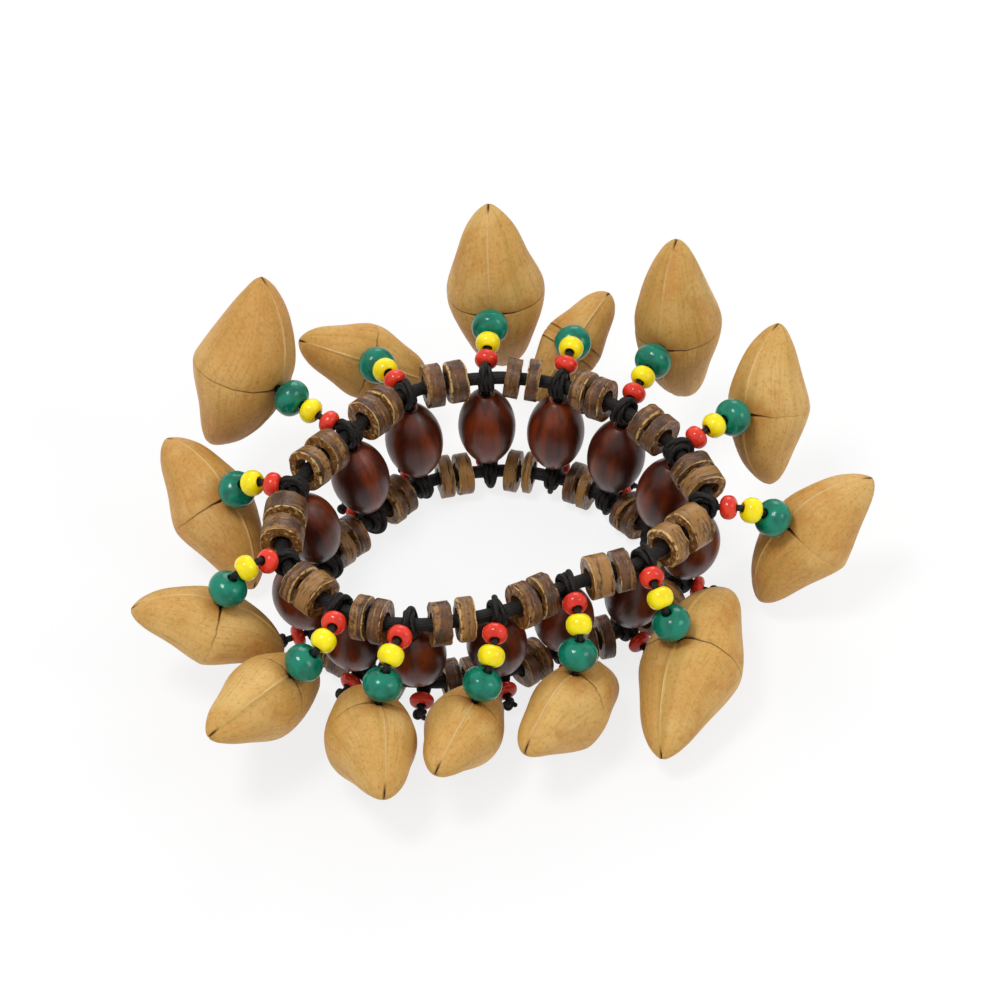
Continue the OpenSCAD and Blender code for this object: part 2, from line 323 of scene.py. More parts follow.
class Layout:
    """Places of all strung pieces in mm, worked out as the part's source does."""

    def __init__(self, cords: CordSizes, beads: BeadSizes, shells: ShellSizes, fits: Fits) -> None:
        """Works out the two rings from the sizes.

        Args:
            cords: Cord sizes.
            beads: Bead sizes.
            shells: Nut shell sizes.
            fits: Gaps between the pieces.
        """
        self.cords, self.beads, self.shells, self.fits = cords, beads, shells, fits
        self.cord_r = cords.cord_d / 2
        self.wrap_in_r = cords.elastic_d / 2 + fits.bore_play
        self.wrap_r = self.wrap_in_r + cords.cord_d
        self.wrap_step = cords.cord_d * cords.turn_pack
        self.wrap_w = self.wrap_step * (cords.turns - 1) + cords.cord_d
        self.rung_span = beads.barrel_l + 2 * (self.wrap_r + cords.bare)
        drop = (beads.barrel_d - beads.barrel_end_d) / 2
        self.bulge_r = (beads.barrel_l**2 / 4 + drop**2) / (2 * drop)
        rim_h = min(self.rung_span / 2 - beads.disc_d / 2, beads.barrel_l / 2)
        rim_r = beads.barrel_d / 2 - self.bulge_r + math.sqrt(self.bulge_r**2 - rim_h**2)
        self.disc_at = max(rim_r, self.wrap_w / 2) + fits.disc_gap
        self.turn_out = self.wrap_step * ((cords.turns - 1) / 2 + cords.turn_offset)
        self.stop_at = self.wrap_r + fits.seat_gap + beads.red_l / 2
        self.knot_at = self.stop_at + beads.red_l / 2 + fits.seat_gap + cords.knot_d / 2
        self._lay_rings()

    def _lay_rings(self) -> None:
        """Sets the ring radius and the points where each rung meets the two rings."""
        beads, fits, shells = self.beads, self.fits, self.shells
        plan = [rung.share * heading(rung.azimuth, 0) for rung in RUNGS]
        length = sum((plan[k] - plan[k - 1]).length for k in range(len(plan)))
        reach = self.wrap_r + beads.red_l + 2 * fits.swing_gap + beads.yellow_l + beads.green_l
        reach += 5 * fits.seat_gap + shells.depth / 2
        full = (shells.length, shells.depth, shells.thick)
        room = max(share * size for share, size in zip(fits.room_shares, full))
        pitch = 2 * (beads.disc_t + self.disc_at) + fits.bare_elastic
        self.ring_r = max(len(RUNGS) * pitch / length, room - reach)
        self.typical_gap = self.ring_r * length / len(RUNGS) - 2 * self.disc_at
        base_z = beads.disc_d / 2
        upper, lower = [], []
        for point in plan:
            top = self.ring_r * point
            foot = fits.lower_share * top + Vector((*fits.lower_shift, 0))
            rise = math.sqrt(self.rung_span**2 - (top - foot).length_squared)
            upper.append(Vector((top.x, top.y, base_z + rise)))
            lower.append(Vector((foot.x, foot.y, base_z)))
        self.points: dict[Ring, list[Vector]] = {Ring.UPPER: upper, Ring.LOWER: lower}

    def at(self, ring: Ring, k: int) -> Vector:
        """Point of a ring at rung k, counted round."""
        return self.points[ring][k % len(RUNGS)]

    def along(self, ring: Ring, k: int) -> Vector:
        """Direction of a ring at rung k."""
        return (self.at(ring, k + 1) - self.at(ring, k - 1)).normalized()

    def outward_azimuth(self, ring: Ring, k: int) -> float:
        """Azimuth of the outward normal of a ring at rung k, in degrees."""
        d = self.along(ring, k)
        return math.degrees(math.atan2(d.x, -d.y))

    def rung_dir(self, k: int) -> Vector:
        """Direction up rung k."""
        return (self.at(Ring.UPPER, k) - self.at(Ring.LOWER, k)).normalized()

    def straight(self, ring: Ring, k: int) -> Vector:
        """Half of the straight stretch of a ring at rung k, clear of the barrel."""
        d = self.along(ring, k)
        return (self.disc_at + self.beads.disc_d / 2 * abs(self.rung_dir(k % len(RUNGS)).dot(d))) * d

    def span(self, ring: Ring, k: int) -> tuple[Vector, Vector]:
        """Start and end of the stretch of a ring between rung k and the next."""
        start = self.at(ring, k) + self.straight(ring, k)
        return start, self.at(ring, k + 1) - self.straight(ring, k + 1)

    def ring_path(self, ring: Ring) -> list[Vector]:
        """Corner points of a ring's elastic, from a rung round to the same rung.

        Args:
            ring: The ring.

        Returns:
            The points, without the last, which is the first again.
        """
        path = [self.at(ring, 0)]
        for k in range(len(RUNGS)):
            path.extend(self.span(ring, k))
            path.append(self.at(ring, k + 1))
        return path[:-1]

    def stub_dir(self, k: int) -> Vector:
        """Direction of the stub that carries rung k's stop bead."""
        return heading(self.outward_azimuth(Ring.LOWER, k), self.fits.stub_pitch)

    def stem_dir(self, k: int) -> Vector:
        """Direction in which dangle k's cord leaves the upper ring."""
        d = DANGLES[k]
        return heading(self.outward_azimuth(Ring.UPPER, k) + d.lean, d.stem_pitch)

    def red_at(self, k: int) -> float:
        """Run along dangle k's stem to its red bead, clear of the wrap where the stem leans.

        Args:
            k: Number of the dangle.

        Returns:
            The run from the ring to the bead.
        """
        lean = abs(math.asin(self.stem_dir(k).dot(self.along(Ring.UPPER, k))))
        turn = (self.wrap_r - self.cord_r) * math.cos(lean) + self.turn_out * math.sin(lean)
        return turn + self.cord_r + self.fits.seat_gap

    def shell_dir(self, k: int) -> Vector:
        """Direction of dangle k's cord where it enters the shell."""
        return heading(DANGLES[k].azimuth, DANGLES[k].pitch)

    def bead_dir(self, k: int) -> Vector:
        """Direction of dangle k's cord through its yellow bead."""
        return (self.stem_dir(k) + self.shell_dir(k)).normalized()

    def bend_gap(self, k: int) -> float:
        """Bare cord beside dangle k's bend."""
        half = math.acos(min(1.0, self.bead_dir(k).dot(self.shell_dir(k)))) / 2
        return self.fits.seat_gap + self.fits.bend_r * self.beads.glass_d * math.tan(half)

    def hinge(self, k: int) -> Vector:
        """Point that dangle k swings on."""
        run = self.red_at(k) + self.beads.red_l + self.fits.swing_gap
        return self.at(Ring.UPPER, k) + run * self.stem_dir(k)

    def bend(self, k: int) -> Vector:
        """Point where dangle k's cord bends between its yellow and green beads."""
        run = self.fits.swing_gap + self.beads.yellow_l + self.bend_gap(k)
        return self.hinge(k) + run * self.bead_dir(k)

    def most_bent(self, k: int) -> float:
        """Largest angle between dangle k's stem and its yellow bead as it swings, in radians.

        Args:
            k: Number of the dangle.

        Returns:
            The angle.
        """
        joint = frame["joints"][k]
        turns = (Matrix.Rotation(math.radians(end), 3, Vector(joint["axis"])) for end in joint["range_deg"])
        return max(self.stem_dir(k).angle(turn @ self.bead_dir(k)) for turn in turns)

    def domed(self, k: int, radius: float, reach: float) -> float:
        """Length of a domed bead beside dangle k's hinge that never meets the bead across it.

        Args:
            k: Number of the dangle.
            radius: Radius of the bead.
            reach: Distance from the bead's far end to the hinge.

        Returns:
            The length.
        """
        lift = self.fits.tilt_room * radius * math.tan(self.most_bent(k) / 2)
        return (reach**2 - lift**2) / reach - self.fits.touch_gap

    def nestle(self, k: int, radius: float, length: float) -> float:
        """How far a bead's domed end reaches into dangle k's bend.

        Args:
            k: Number of the dangle.
            radius: Radius of the bead.
            length: Length of the bead without that.

        Returns:
            The reach.
        """
        tilt = self.bead_dir(k).angle(self.shell_dir(k)) / 2
        lift = self.fits.tilt_room * radius * math.tan(tilt)
        return max(0.0, self.bend_gap(k) - (math.hypot(length / 2, lift) - length / 2))

    def hole(self, k: int) -> Vector:
        """Point where dangle k's cord enters its shell."""
        run = self.bend_gap(k) + self.beads.green_l + self.fits.seat_gap
        return self.bend(k) + run * self.shell_dir(k)


# Node trees


class Graph:
    """Adds nodes to one tree and joins them."""

    def __init__(self, tree: bpy.types.NodeTree) -> None:
        """Keeps the tree that the nodes go into."""
        self.tree = tree

    def add(
        self, kind: str, feeds: dict[str | int, Feed] | None = None, **settings: object,
    ) -> bpy.types.Node:
        """Adds one node.

        Args:
            kind: Name of the node type.
            feeds: Sockets or values for its inputs, by name or number.
            settings: Properties of the node itself.

        Returns:
            The new node.
        """
        node = self.tree.nodes.new(kind)
        for key, value in settings.items():
            setattr(node, key, value)
        for key, value in (feeds or {}).items():
            if isinstance(value, Socket):
                self.tree.links.new(value, node.inputs[key])
            else:
                node.inputs[key].default_value = value
        return node

    def math(self, operation: str, a: Feed, b: Feed = 0.0) -> Socket:
        """Result of one sum on two values."""
        return self.add("ShaderNodeMath", {0: a, 1: b}, operation=operation).outputs[0]

    def affine(self, value: Feed, times: float, plus: float) -> Socket:
        """Value times one number plus another."""
        return self.add("ShaderNodeMath", {0: value, 1: times, 2: plus}, operation="MULTIPLY_ADD").outputs[0]

    def mix(self, share: Feed, a: Feed, b: Feed) -> Socket:
        """Colour that goes from a to b as the share goes from 0 to 1."""
        return self.add("ShaderNodeMix", {0: share, 6: a, 7: b}, data_type="RGBA").outputs[2]

    def tint(self, colour: Feed, rgb: Rgb, mask: Feed, share: float = 1.0) -> Socket:
        """Colour drawn towards a screen colour by a share of a mask."""
        return self.mix(self.math("MULTIPLY", mask, share), colour, srgb(rgb))

    def noise(self, vector: Feed, scale: Feed, detail: float = 2.0, rough: float = 0.5) -> Socket:
        """Value of a noise texture."""
        feeds = {"Vector": vector, "Scale": scale, "Detail": detail, "Roughness": rough}
        return self.add("ShaderNodeTexNoise", feeds).outputs[0]

    def between(self, value: Feed, low: Feed, high: Feed) -> Socket:
        """Mask that goes smoothly from 0 at a low value to 1 at a high one."""
        feeds = {"Value": value, "From Min": low, "From Max": high}
        return self.add("ShaderNodeMapRange", feeds, interpolation_type="SMOOTHSTEP").outputs[0]

    def value_of(self, name: str) -> Socket:
        """Plain value of a mesh attribute."""
        return self.add("ShaderNodeAttribute", attribute_name=name).outputs["Fac"]

    def vector_of(self, name: str) -> Socket:
        """Vector value of a mesh attribute."""
        return self.add("ShaderNodeAttribute", attribute_name=name).outputs["Vector"]

    def place(self) -> Socket:
        """Place of a point on its object."""
        return self.add("ShaderNodeTexCoord").outputs["Object"]

    def combine(self, x: Feed, y: Feed, z: Feed) -> Socket:
        """Vector of three values."""
        return self.add("ShaderNodeCombineXYZ", {0: x, 1: y, 2: z}).outputs[0]

    def split(self, vector: Feed) -> bpy.types.NodeOutputs:
        """The three values of a vector."""
        return self.add("ShaderNodeSeparateXYZ", {0: vector}).outputs


class Effect:
    """A shader node group with named inputs and outputs, placed in several finishes."""

    def __init__(self, name: str, takes: dict[str, str], gives: Sequence[str]) -> None:
        """Makes the empty group.

        Args:
            name: Name of the group.
            takes: Socket type of each named input.
            gives: Names of the outputs, all plain values.
        """
        tree = bpy.data.node_groups.new(name, "ShaderNodeTree")
        for key, kind in takes.items():
            tree.interface.new_socket(key, in_out="INPUT", socket_type=kind)
        for key in gives:
            tree.interface.new_socket(key, in_out="OUTPUT", socket_type=PLAIN)
        self.graph = Graph(tree)
        self.takes = tree.nodes.new("NodeGroupInput").outputs
        self.gives = tree.nodes.new("NodeGroupOutput").inputs

    def give(self, name: str, socket: Socket) -> None:
        """Joins a socket to a named output."""
        self.graph.tree.links.new(socket, self.gives[name])

    def place(self, graph: Graph, feeds: dict[str, Feed]) -> bpy.types.NodeOutputs:
        """Puts the group into a material.

        Args:
            graph: Graph of the material.
            feeds: Sockets or values for the named inputs.

        Returns:
            The group's outputs.
        """
        return graph.add("ShaderNodeGroup", feeds, node_tree=self.graph.tree).outputs


class Effects:
    """The effects that several finishes share."""

    def __init__(self) -> None:
        """Builds each group once."""
        self.fibre = self._fibre()
        self.flecks = self._flecks()
        self.lay = self._lay()
        self.glaze = self._glaze()

    def _fibre(self) -> Effect:
        """Fine lines and broad patches drawn out along X.

        Returns:
            The effect.
        """
        takes = {"Vector": VECTOR, "Along": PLAIN, "Across": PLAIN}
        effect = Effect("fibre", takes, ("Lines", "Strands", "Patches"))
        g, t = effect.graph, effect.takes
        stretch = g.combine(t["Along"], t["Across"], t["Across"])
        drawn = g.add("ShaderNodeVectorMath", {0: t["Vector"], 1: stretch}, operation="MULTIPLY").outputs[0]
        effect.give("Lines", g.noise(drawn, 1.0, 3.0, 0.6))
        effect.give("Strands", g.noise(drawn, 0.28, 2.0, 0.5))
        effect.give("Patches", g.noise(drawn, 0.09, 2.0, 0.5))
        return effect

    def _flecks(self) -> Effect:
        """Small scattered spots.

        Returns:
            The effect.
        """
        takes = {"Vector": VECTOR, "Scale": PLAIN, "Level": PLAIN}
        effect = Effect("flecks", takes, ("Spots",))
        g, t = effect.graph, effect.takes
        value = g.noise(t["Vector"], t["Scale"], 1.0, 0.5)
        effect.give("Spots", g.between(value, t["Level"], g.math("ADD", t["Level"], 0.07)))
        return effect

    def _lay(self) -> Effect:
        """Ridges of strands laid round a cord.

        Returns:
            The effect.
        """
        takes = {"Run": PLAIN, "Rim": VECTOR, "Strands": PLAIN, "Pitch": PLAIN}
        effect = Effect("cord_lay", takes, ("Ridge",))
        g, t = effect.graph, effect.takes
        rim = g.split(t["Rim"])
        angle = g.math("MULTIPLY", g.math("ARCTAN2", rim[1], rim[0]), t["Strands"])
        run = g.math("MULTIPLY", g.math("DIVIDE", t["Run"], t["Pitch"]), math.tau)
        wave = g.math("COSINE", g.math("ADD", angle, run))
        effect.give("Ridge", g.affine(wave, 0.5, 0.5))
        return effect

    def _glaze(self) -> Effect:
        """Faint cloudiness and dimples of a glazed or painted bead.

        Returns:
            The effect.
        """
        takes = {"Vector": VECTOR, "Scale": PLAIN}
        effect = Effect("glaze", takes, ("Cloud", "Dimple"))
        g, t = effect.graph, effect.takes
        effect.give("Cloud", g.noise(t["Vector"], t["Scale"], 2.0, 0.5))
        effect.give("Dimple", g.noise(t["Vector"], g.math("MULTIPLY", t["Scale"], 3.0), 1.0, 0.5))
        return effect


def srgb(rgb: Rgb) -> tuple[float, float, float, float]:
    """Colour of a screen value, in linear values.

    Args:
        rgb: Red, green and blue, from 0 to 255.

    Returns:
        The linear colour, opaque.
    """
    linear = []
    for value in rgb:
        v = value / 255
        linear.append(v / 12.92 if v <= 0.04045 else ((v + 0.055) / 1.055) ** 2.4)
    return (*linear, 1.0)


# Finishes


@dataclass(frozen=True)
class Finish:
    """A finish: its name, its sheen, and the depth in mm and the strength of its relief."""

    name: str
    specular: float
    depth: float = 0.16
    relief: float = 0.5

    def paint(self, g: Graph, effects: Effects) -> tuple[Socket, Socket, Socket]:
        """Draws the finish.

        Args:
            g: Graph of the material.
            effects: Shared node groups.

        Returns:
            Its colour, roughness and height.
        """
        raise NotImplementedError

    def build(self, effects: Effects) -> bpy.types.Material:
        """Makes the material, with one Principled shader.

        Args:
            effects: Shared node groups.

        Returns:
            The material.
        """
        material = bpy.data.materials.new(self.name)
        material.use_nodes = True
        g = Graph(material.node_tree)
        shader = material.node_tree.nodes["Principled BSDF"]
        shader.inputs["Specular IOR Level"].default_value = self.specular
        colour, rough, height = self.paint(g, effects)
        feeds = {"Height": height, "Distance": self.depth * MM, "Strength": self.relief}
        normal = g.add("ShaderNodeBump", feeds).outputs[0]
        for key, socket in (("Base Color", colour), ("Roughness", rough), ("Normal", normal)):
            g.tree.links.new(socket, shader.inputs[key])
        return material


@dataclass(frozen=True)
class HuskFinish(Finish):
    """Dry, polished nut husk with drawn-out fibres, a seam faintly darker along its length and painted dark
    as shade where it is pried open and at the hole, a pale keel and tip slits painted dark as shade.
    """

    specular: float = 0.22
    tan: Rgb = (205, 158, 84)
    pale: Rgb = (217, 176, 105)
    russet: Rgb = (192, 130, 60)
    olive: Rgb = (174, 140, 64)
    dark: Rgb = (142, 94, 44)
    # seam colour: the seam's own faint crease, and painted shade in the pried crack and the hole dimple
    seam: Rgb = (58, 32, 16)
    keel: Rgb = (232, 202, 148)
    # slit colour: painted shade in the tip slits
    slit: Rgb = (34, 20, 10)

    def paint(self, g: Graph, effects: Effects) -> tuple[Socket, Socket, Socket]:
        """Draws the finish.

        Args:
            g: Graph of the material.
            effects: Shared node groups.

        Returns:
            Its colour, roughness and height.
        """
        place = g.place()
        fibre = effects.fibre.place(g, {"Vector": g.vector_of("grain"), "Along": 0.2, "Across": 2.6})
        mottle = g.noise(place, 1700.0, 3.0, 0.65)
        broad = g.noise(place, 110.0, 2.0, 0.5)
        other = g.noise(place, 190.0, 3.0, 0.6)
        colour = g.mix(g.between(broad, 0.40, 0.66), srgb(self.tan), srgb(self.pale))
        for rgb, value, low, high, share in (
            (self.russet, other, 0.50, 0.72, 0.6),
            (self.olive, fibre["Patches"], 0.50, 0.72, 0.45),
            (self.russet, g.value_of("tone"), 0.4, 1.0, 0.3),
            (self.russet, fibre["Strands"], 0.52, 0.74, 0.3),
            (self.dark, mottle, 0.50, 0.70, 0.32),
            (self.dark, fibre["Lines"], 0.53, 0.72, 0.34),
            (self.pale, mottle, 0.46, 0.30, 0.3),
        ):
            colour = g.tint(colour, rgb, g.between(value, low, high), share)
        drawn = {mark: g.value_of(mark.value) for mark in Mark}
        stain = g.math("MULTIPLY", drawn[Mark.STAIN], g.between(other, 0.30, 0.60))
        keel = g.math("MULTIPLY", drawn[Mark.KEEL], g.between(fibre["Strands"], 0.30, 0.55))
        for rgb, mask in (
            (self.russet, stain),
            (self.keel, keel),
            # Painted shade: the seam colour darkens the pried crack and the hole dimple; far from the hole
            # it is the seam's own faint crease.
            (self.seam, drawn[Mark.SEAM]),
            # Painted shade: the slit colour darkens the tip slits.
            (self.slit, drawn[Mark.SLIT]),
        ):
            colour = g.tint(colour, rgb, mask)
        height = g.math("ADD", fibre["Lines"], g.math("MULTIPLY", mottle, 0.8))
        return colour, g.affine(mottle, 0.3, 0.36), height


@dataclass(frozen=True)
class CoconutFinish(Finish):
    """Turned coconut shell: banded grey-brown sides, bright rubbed edges and speckled tan faces."""

    specular: float = 0.35
    depth: float = 0.3
    relief: float = 0.7
    side: Rgb = (102, 64, 34)
    deep: Rgb = (56, 32, 16)
    gold: Rgb = (166, 120, 60)
    face: Rgb = (150, 102, 50)
    pale: Rgb = (224, 188, 122)

    def paint(self, g: Graph, effects: Effects) -> tuple[Socket, Socket, Socket]:
        """Draws the finish.

        Args:
            g: Graph of the material.
            effects: Shared node groups.

        Returns:
            Its colour, roughness and height.
        """
        tone, zone = g.value_of("tone"), g.value_of("zone")
        local = g.split(g.vector_of("local"))
        shift = g.math("MULTIPLY", tone, 40.0)
        solid = g.combine(g.math("ADD", local[0], shift), local[1], local[2])
        cloud = g.noise(solid, 0.42, 3.0, 0.6)
        mottle = g.noise(solid, 1.2, 3.0, 0.6)
        across = g.math("ADD", g.math("ADD", local[2], shift), g.math("MULTIPLY", cloud, 1.3))
        sideways = g.math("ADD", local[0], g.math("MULTIPLY", local[1], 0.7))
        vector = g.combine(sideways, across, shift)
        bands = effects.fibre.place(g, {"Vector": vector, "Along": 0.3, "Across": 2.2})
        specks = effects.flecks.place(g, {"Vector": solid, "Scale": 2.4, "Level": 0.60})["Spots"]
        glints = effects.flecks.place(g, {"Vector": solid, "Scale": 1.5, "Level": 0.58})["Spots"]
        golden = g.math("MULTIPLY", g.between(bands["Strands"], 0.54, 0.64), g.between(mottle, 0.36, 0.56))
        light = g.math("MULTIPLY", g.between(tone, 0.74, 0.90), g.between(bands["Lines"], 0.66, 0.46))
        side = g.mix(g.between(cloud, 0.34, 0.60), srgb(self.deep), srgb(self.side))
        side = g.tint(side, self.deep, g.between(bands["Lines"], 0.50, 0.64), 0.65)
        side = g.tint(side, self.gold, golden, 0.7)
        side = g.tint(side, self.gold, g.between(bands["Lines"], 0.40, 0.30), 0.5)
        side = g.tint(side, self.gold, light, 0.75)
        face = g.mix(g.between(mottle, 0.36, 0.62), srgb(self.side), srgb(self.face))
        face = g.tint(face, self.deep, specks, 0.55)
        face = g.tint(face, self.pale, glints, 0.6)
        colour = g.mix(g.between(zone, 0.55, 0.75), side, face)
        off_edge = g.math("ABSOLUTE", g.math("SUBTRACT", zone, 0.55))
        rim = g.math("SUBTRACT", 1.0, g.math("MULTIPLY", off_edge, 2.6))
        edge = g.math("MULTIPLY", g.between(rim, 0.05, 0.70), g.between(mottle, 0.36, 0.50))
        colour = g.tint(colour, self.pale, edge, 0.9)
        height = g.math("ADD", bands["Lines"], g.math("MULTIPLY", mottle, 0.6))
        return colour, g.affine(mottle, 0.45, 0.12), height


@dataclass(frozen=True)
class LacquerFinish(Finish):
    """Dark lacquered hardwood with its grain along the bead."""

    specular: float = 0.4
    depth: float = 0.1
    relief: float = 0.35
    body: Rgb = (70, 25, 10)
    streak: Rgb = (40, 15, 7)
    warm: Rgb = (122, 48, 13)

    def paint(self, g: Graph, effects: Effects) -> tuple[Socket, Socket, Socket]:
        """Draws the finish.

        Args:
            g: Graph of the material.
            effects: Shared node groups.

        Returns:
            Its colour, roughness and height.
        """
        local = g.split(g.vector_of("local"))
        shift = g.math("MULTIPLY", g.value_of("tone"), 60.0)
        vector = g.combine(local[2], g.math("ADD", local[0], shift), local[1])
        fibre = effects.fibre.place(g, {"Vector": vector, "Along": 0.22, "Across": 2.4})
        colour = g.mix(g.between(fibre["Patches"], 0.40, 0.66), srgb(self.body), srgb(self.warm))
        colour = g.tint(colour, self.streak, g.between(fibre["Strands"], 0.44, 0.66), 0.6)
        return colour, g.affine(fibre["Lines"], 0.25, 0.2), fibre["Lines"]


@dataclass(frozen=True)
class GlazeFinish(Finish):
    """Opaque glass or painted wood, glossy and faintly cloudy."""

    specular: float = 0.34
    relief: float = 0.25
    body: Rgb = (230, 58, 36)
    cloud: Rgb = (206, 42, 26)
    roughness: float = 0.06

    def paint(self, g: Graph, effects: Effects) -> tuple[Socket, Socket, Socket]:
        """Draws the finish.

        Args:
            g: Graph of the material.
            effects: Shared node groups.

        Returns:
            Its colour, roughness and height.
        """
        glaze = effects.glaze.place(g, {"Vector": g.place(), "Scale": 420.0})
        colour = g.mix(g.between(glaze["Cloud"], 0.42, 0.70), srgb(self.body), srgb(self.cloud))
        return colour, g.affine(glaze["Dimple"], 0.2, self.roughness), glaze["Dimple"]


@dataclass(frozen=True)
class CordFinish(Finish):
    """Near-black cord with its strands laid round it."""

    specular: float = 0.2
    depth: float = 0.2
    relief: float = 0.7
    body: Rgb = (20, 18, 17)
    worn: Rgb = (48, 44, 40)
    strands: float = 3.0
    pitch: float = 3.2

    def paint(self, g: Graph, effects: Effects) -> tuple[Socket, Socket, Socket]:
        """Draws the finish.

        Args:
            g: Graph of the material.
            effects: Shared node groups.

        Returns:
            Its colour, roughness and height.
        """
        ridge = effects.lay.place(g, {
            "Run": g.value_of("run"), "Rim": g.vector_of("rim"),
            "Strands": self.strands, "Pitch": self.pitch * MM,
        })["Ridge"]
        fuzz = g.noise(g.place(), 2600.0, 2.0, 0.6)
        rubbed = g.math("MULTIPLY", ridge, g.between(fuzz, 0.4, 0.7))
        colour = g.mix(rubbed, srgb(self.body), srgb(self.worn))
        height = g.math("ADD", ridge, g.math("MULTIPLY", fuzz, 0.8))
        return colour, g.affine(fuzz, 0.3, 0.45), height


class Finishes:
    """All finishes of the bracelet, each built once."""

    def __init__(self) -> None:
        """Builds the effects and the materials."""
        effects = Effects()
        self.husk = HuskFinish("nut_husk").build(effects)
        self.coconut = CoconutFinish("coconut_shell").build(effects)
        self.lacquer = LacquerFinish("lacquered_wood").build(effects)
        self.red = GlazeFinish("red_glass").build(effects)
        self.yellow = GlazeFinish("yellow_glass", body=(252, 234, 14), cloud=(240, 214, 6)).build(effects)
        self.green = GlazeFinish("green_paint", body=(0, 124, 98), cloud=(0, 94, 74)).build(effects)
        self.elastic = CordFinish("covered_elastic", strands=14.0, pitch=5.0, relief=0.3).build(effects)
        self.waxed = CordFinish("waxed_cord").build(effects)


# Geometry Nodes


class GeoTree:
    """A Geometry Nodes tree with named inputs, run on an object and turned into a plain mesh."""

    def __init__(self, name: str, takes: dict[str, str]) -> None:
        """Makes the tree and its inputs.

        Args:
            name: Name of the tree.
            takes: Socket type of each named input after the geometry.
        """
        self.tree = bpy.data.node_groups.new(name, "GeometryNodeTree")
        self.tree.is_modifier = True
        face = self.tree.interface
        face.new_socket("Geometry", in_out="OUTPUT", socket_type="NodeSocketGeometry")
        face.new_socket("Geometry", in_out="INPUT", socket_type="NodeSocketGeometry")
        self.ids: dict[str, str] = {}
        for key, kind in takes.items():
            self.ids[key] = face.new_socket(key, in_out="INPUT", socket_type=kind).identifier
        self.graph = Graph(self.tree)
        self.takes = self.tree.nodes.new("NodeGroupInput").outputs
        self.gives = self.tree.nodes.new("NodeGroupOutput").inputs

    def named(self, name: str, kind: str) -> Socket:
        """Value of an attribute that the geometry carries."""
        return self.graph.add("GeometryNodeInputNamedAttribute", {"Name": name}, data_type=kind).outputs[0]

    def stored(self, geometry: Socket, name: str, kind: str, value: Socket) -> Socket:
        """Geometry with a value stored on its points.

        Args:
            geometry: The geometry.
            name: Name of the attribute.
            kind: Its type.
            value: Its value.

        Returns:
            The geometry with the attribute.
        """
        feeds = {"Geometry": geometry, "Name": name, "Value": value}
        node = self.graph.add("GeometryNodeStoreNamedAttribute", feeds, data_type=kind, domain="POINT")
        return node.outputs[0]

    def close(self, geometry: Socket) -> None:
        """Ends the tree: realizes, smooths and sets the finish.

        Args:
            geometry: What the tree has made.
        """
        g = self.graph
        real = g.add("GeometryNodeRealizeInstances", {0: geometry}).outputs[0]
        smooth = g.add("GeometryNodeSetShadeSmooth", {0: real}).outputs[0]
        dressed = g.add("GeometryNodeSetMaterial", {0: smooth, "Material": self.takes["Finish"]}).outputs[0]
        self.tree.links.new(dressed, self.gives[0])

    def run(self, source: bpy.types.Object, **values: object) -> bpy.types.Object:
        """Runs the tree on an object.

        Args:
            source: Object that holds the points or the path.
            values: Values of the named inputs.

        Returns:
            The same object, with a plain mesh and no modifier.
        """
        modifier = source.modifiers.new(self.tree.name, "NODES")
        modifier.node_group = self.tree
        for key, value in values.items():
            modifier[self.ids[key]] = value
        bpy.context.view_layer.update()
        graph = bpy.context.evaluated_depsgraph_get()
        mesh = bpy.data.meshes.new_from_object(
            source.evaluated_get(graph), preserve_all_data_layers=True, depsgraph=graph
        )
        source.modifiers.remove(modifier)
        old, source.data = source.data, mesh
        bpy.data.meshes.remove(old)
        mesh.name = source.name
        return source


class StringTree(GeoTree):
    """Puts a bead on every point of a mesh and roughens it a little."""

    def __init__(self) -> None:
        """Builds the tree."""
        super().__init__("strung_beads", {
            "Beads": "NodeSocketCollection",
            "Roughen": PLAIN,
            "Lump size": PLAIN,
            "Seed": PLAIN,
            "Finish": "NodeSocketMaterial",
        })
        g, t = self.graph, self.takes
        beads = g.add("GeometryNodeCollectionInfo", {
            "Collection": t["Beads"], "Separate Children": True, "Reset Children": True,
        }).outputs[0]
        turn = self.named("turn", "FLOAT_VECTOR")
        rotation = g.add("FunctionNodeEulerToRotation", {0: turn}).outputs[0]
        strung = g.add("GeometryNodeInstanceOnPoints", {
            "Points": t["Geometry"], "Instance": beads, "Pick Instance": True, "Rotation": rotation,
            "Instance Index": self.named("pattern", "INT"), "Scale": self.named("stretch", "FLOAT_VECTOR"),
        }).outputs[0]
        real = g.add("GeometryNodeRealizeInstances", {0: strung}).outputs[0]
        place = g.add("GeometryNodeInputPosition").outputs[0]
        scale = g.math("DIVIDE", 1.0, t["Lump size"])
        lump = g.add("ShaderNodeTexNoise", {
            "Vector": place, "W": t["Seed"], "Scale": scale, "Detail": 1.0,
        }, noise_dimensions="4D").outputs[0]
        depth = g.math("MULTIPLY", lump, g.math("MULTIPLY", t["Roughen"], -1.0))
        normal = g.add("GeometryNodeInputNormal").outputs[0]
        offset = g.add("ShaderNodeVectorMath", {0: normal, "Scale": depth}, operation="SCALE").outputs[0]
        self.close(g.add("GeometryNodeSetPosition", {"Geometry": real, "Offset": offset}).outputs[0])


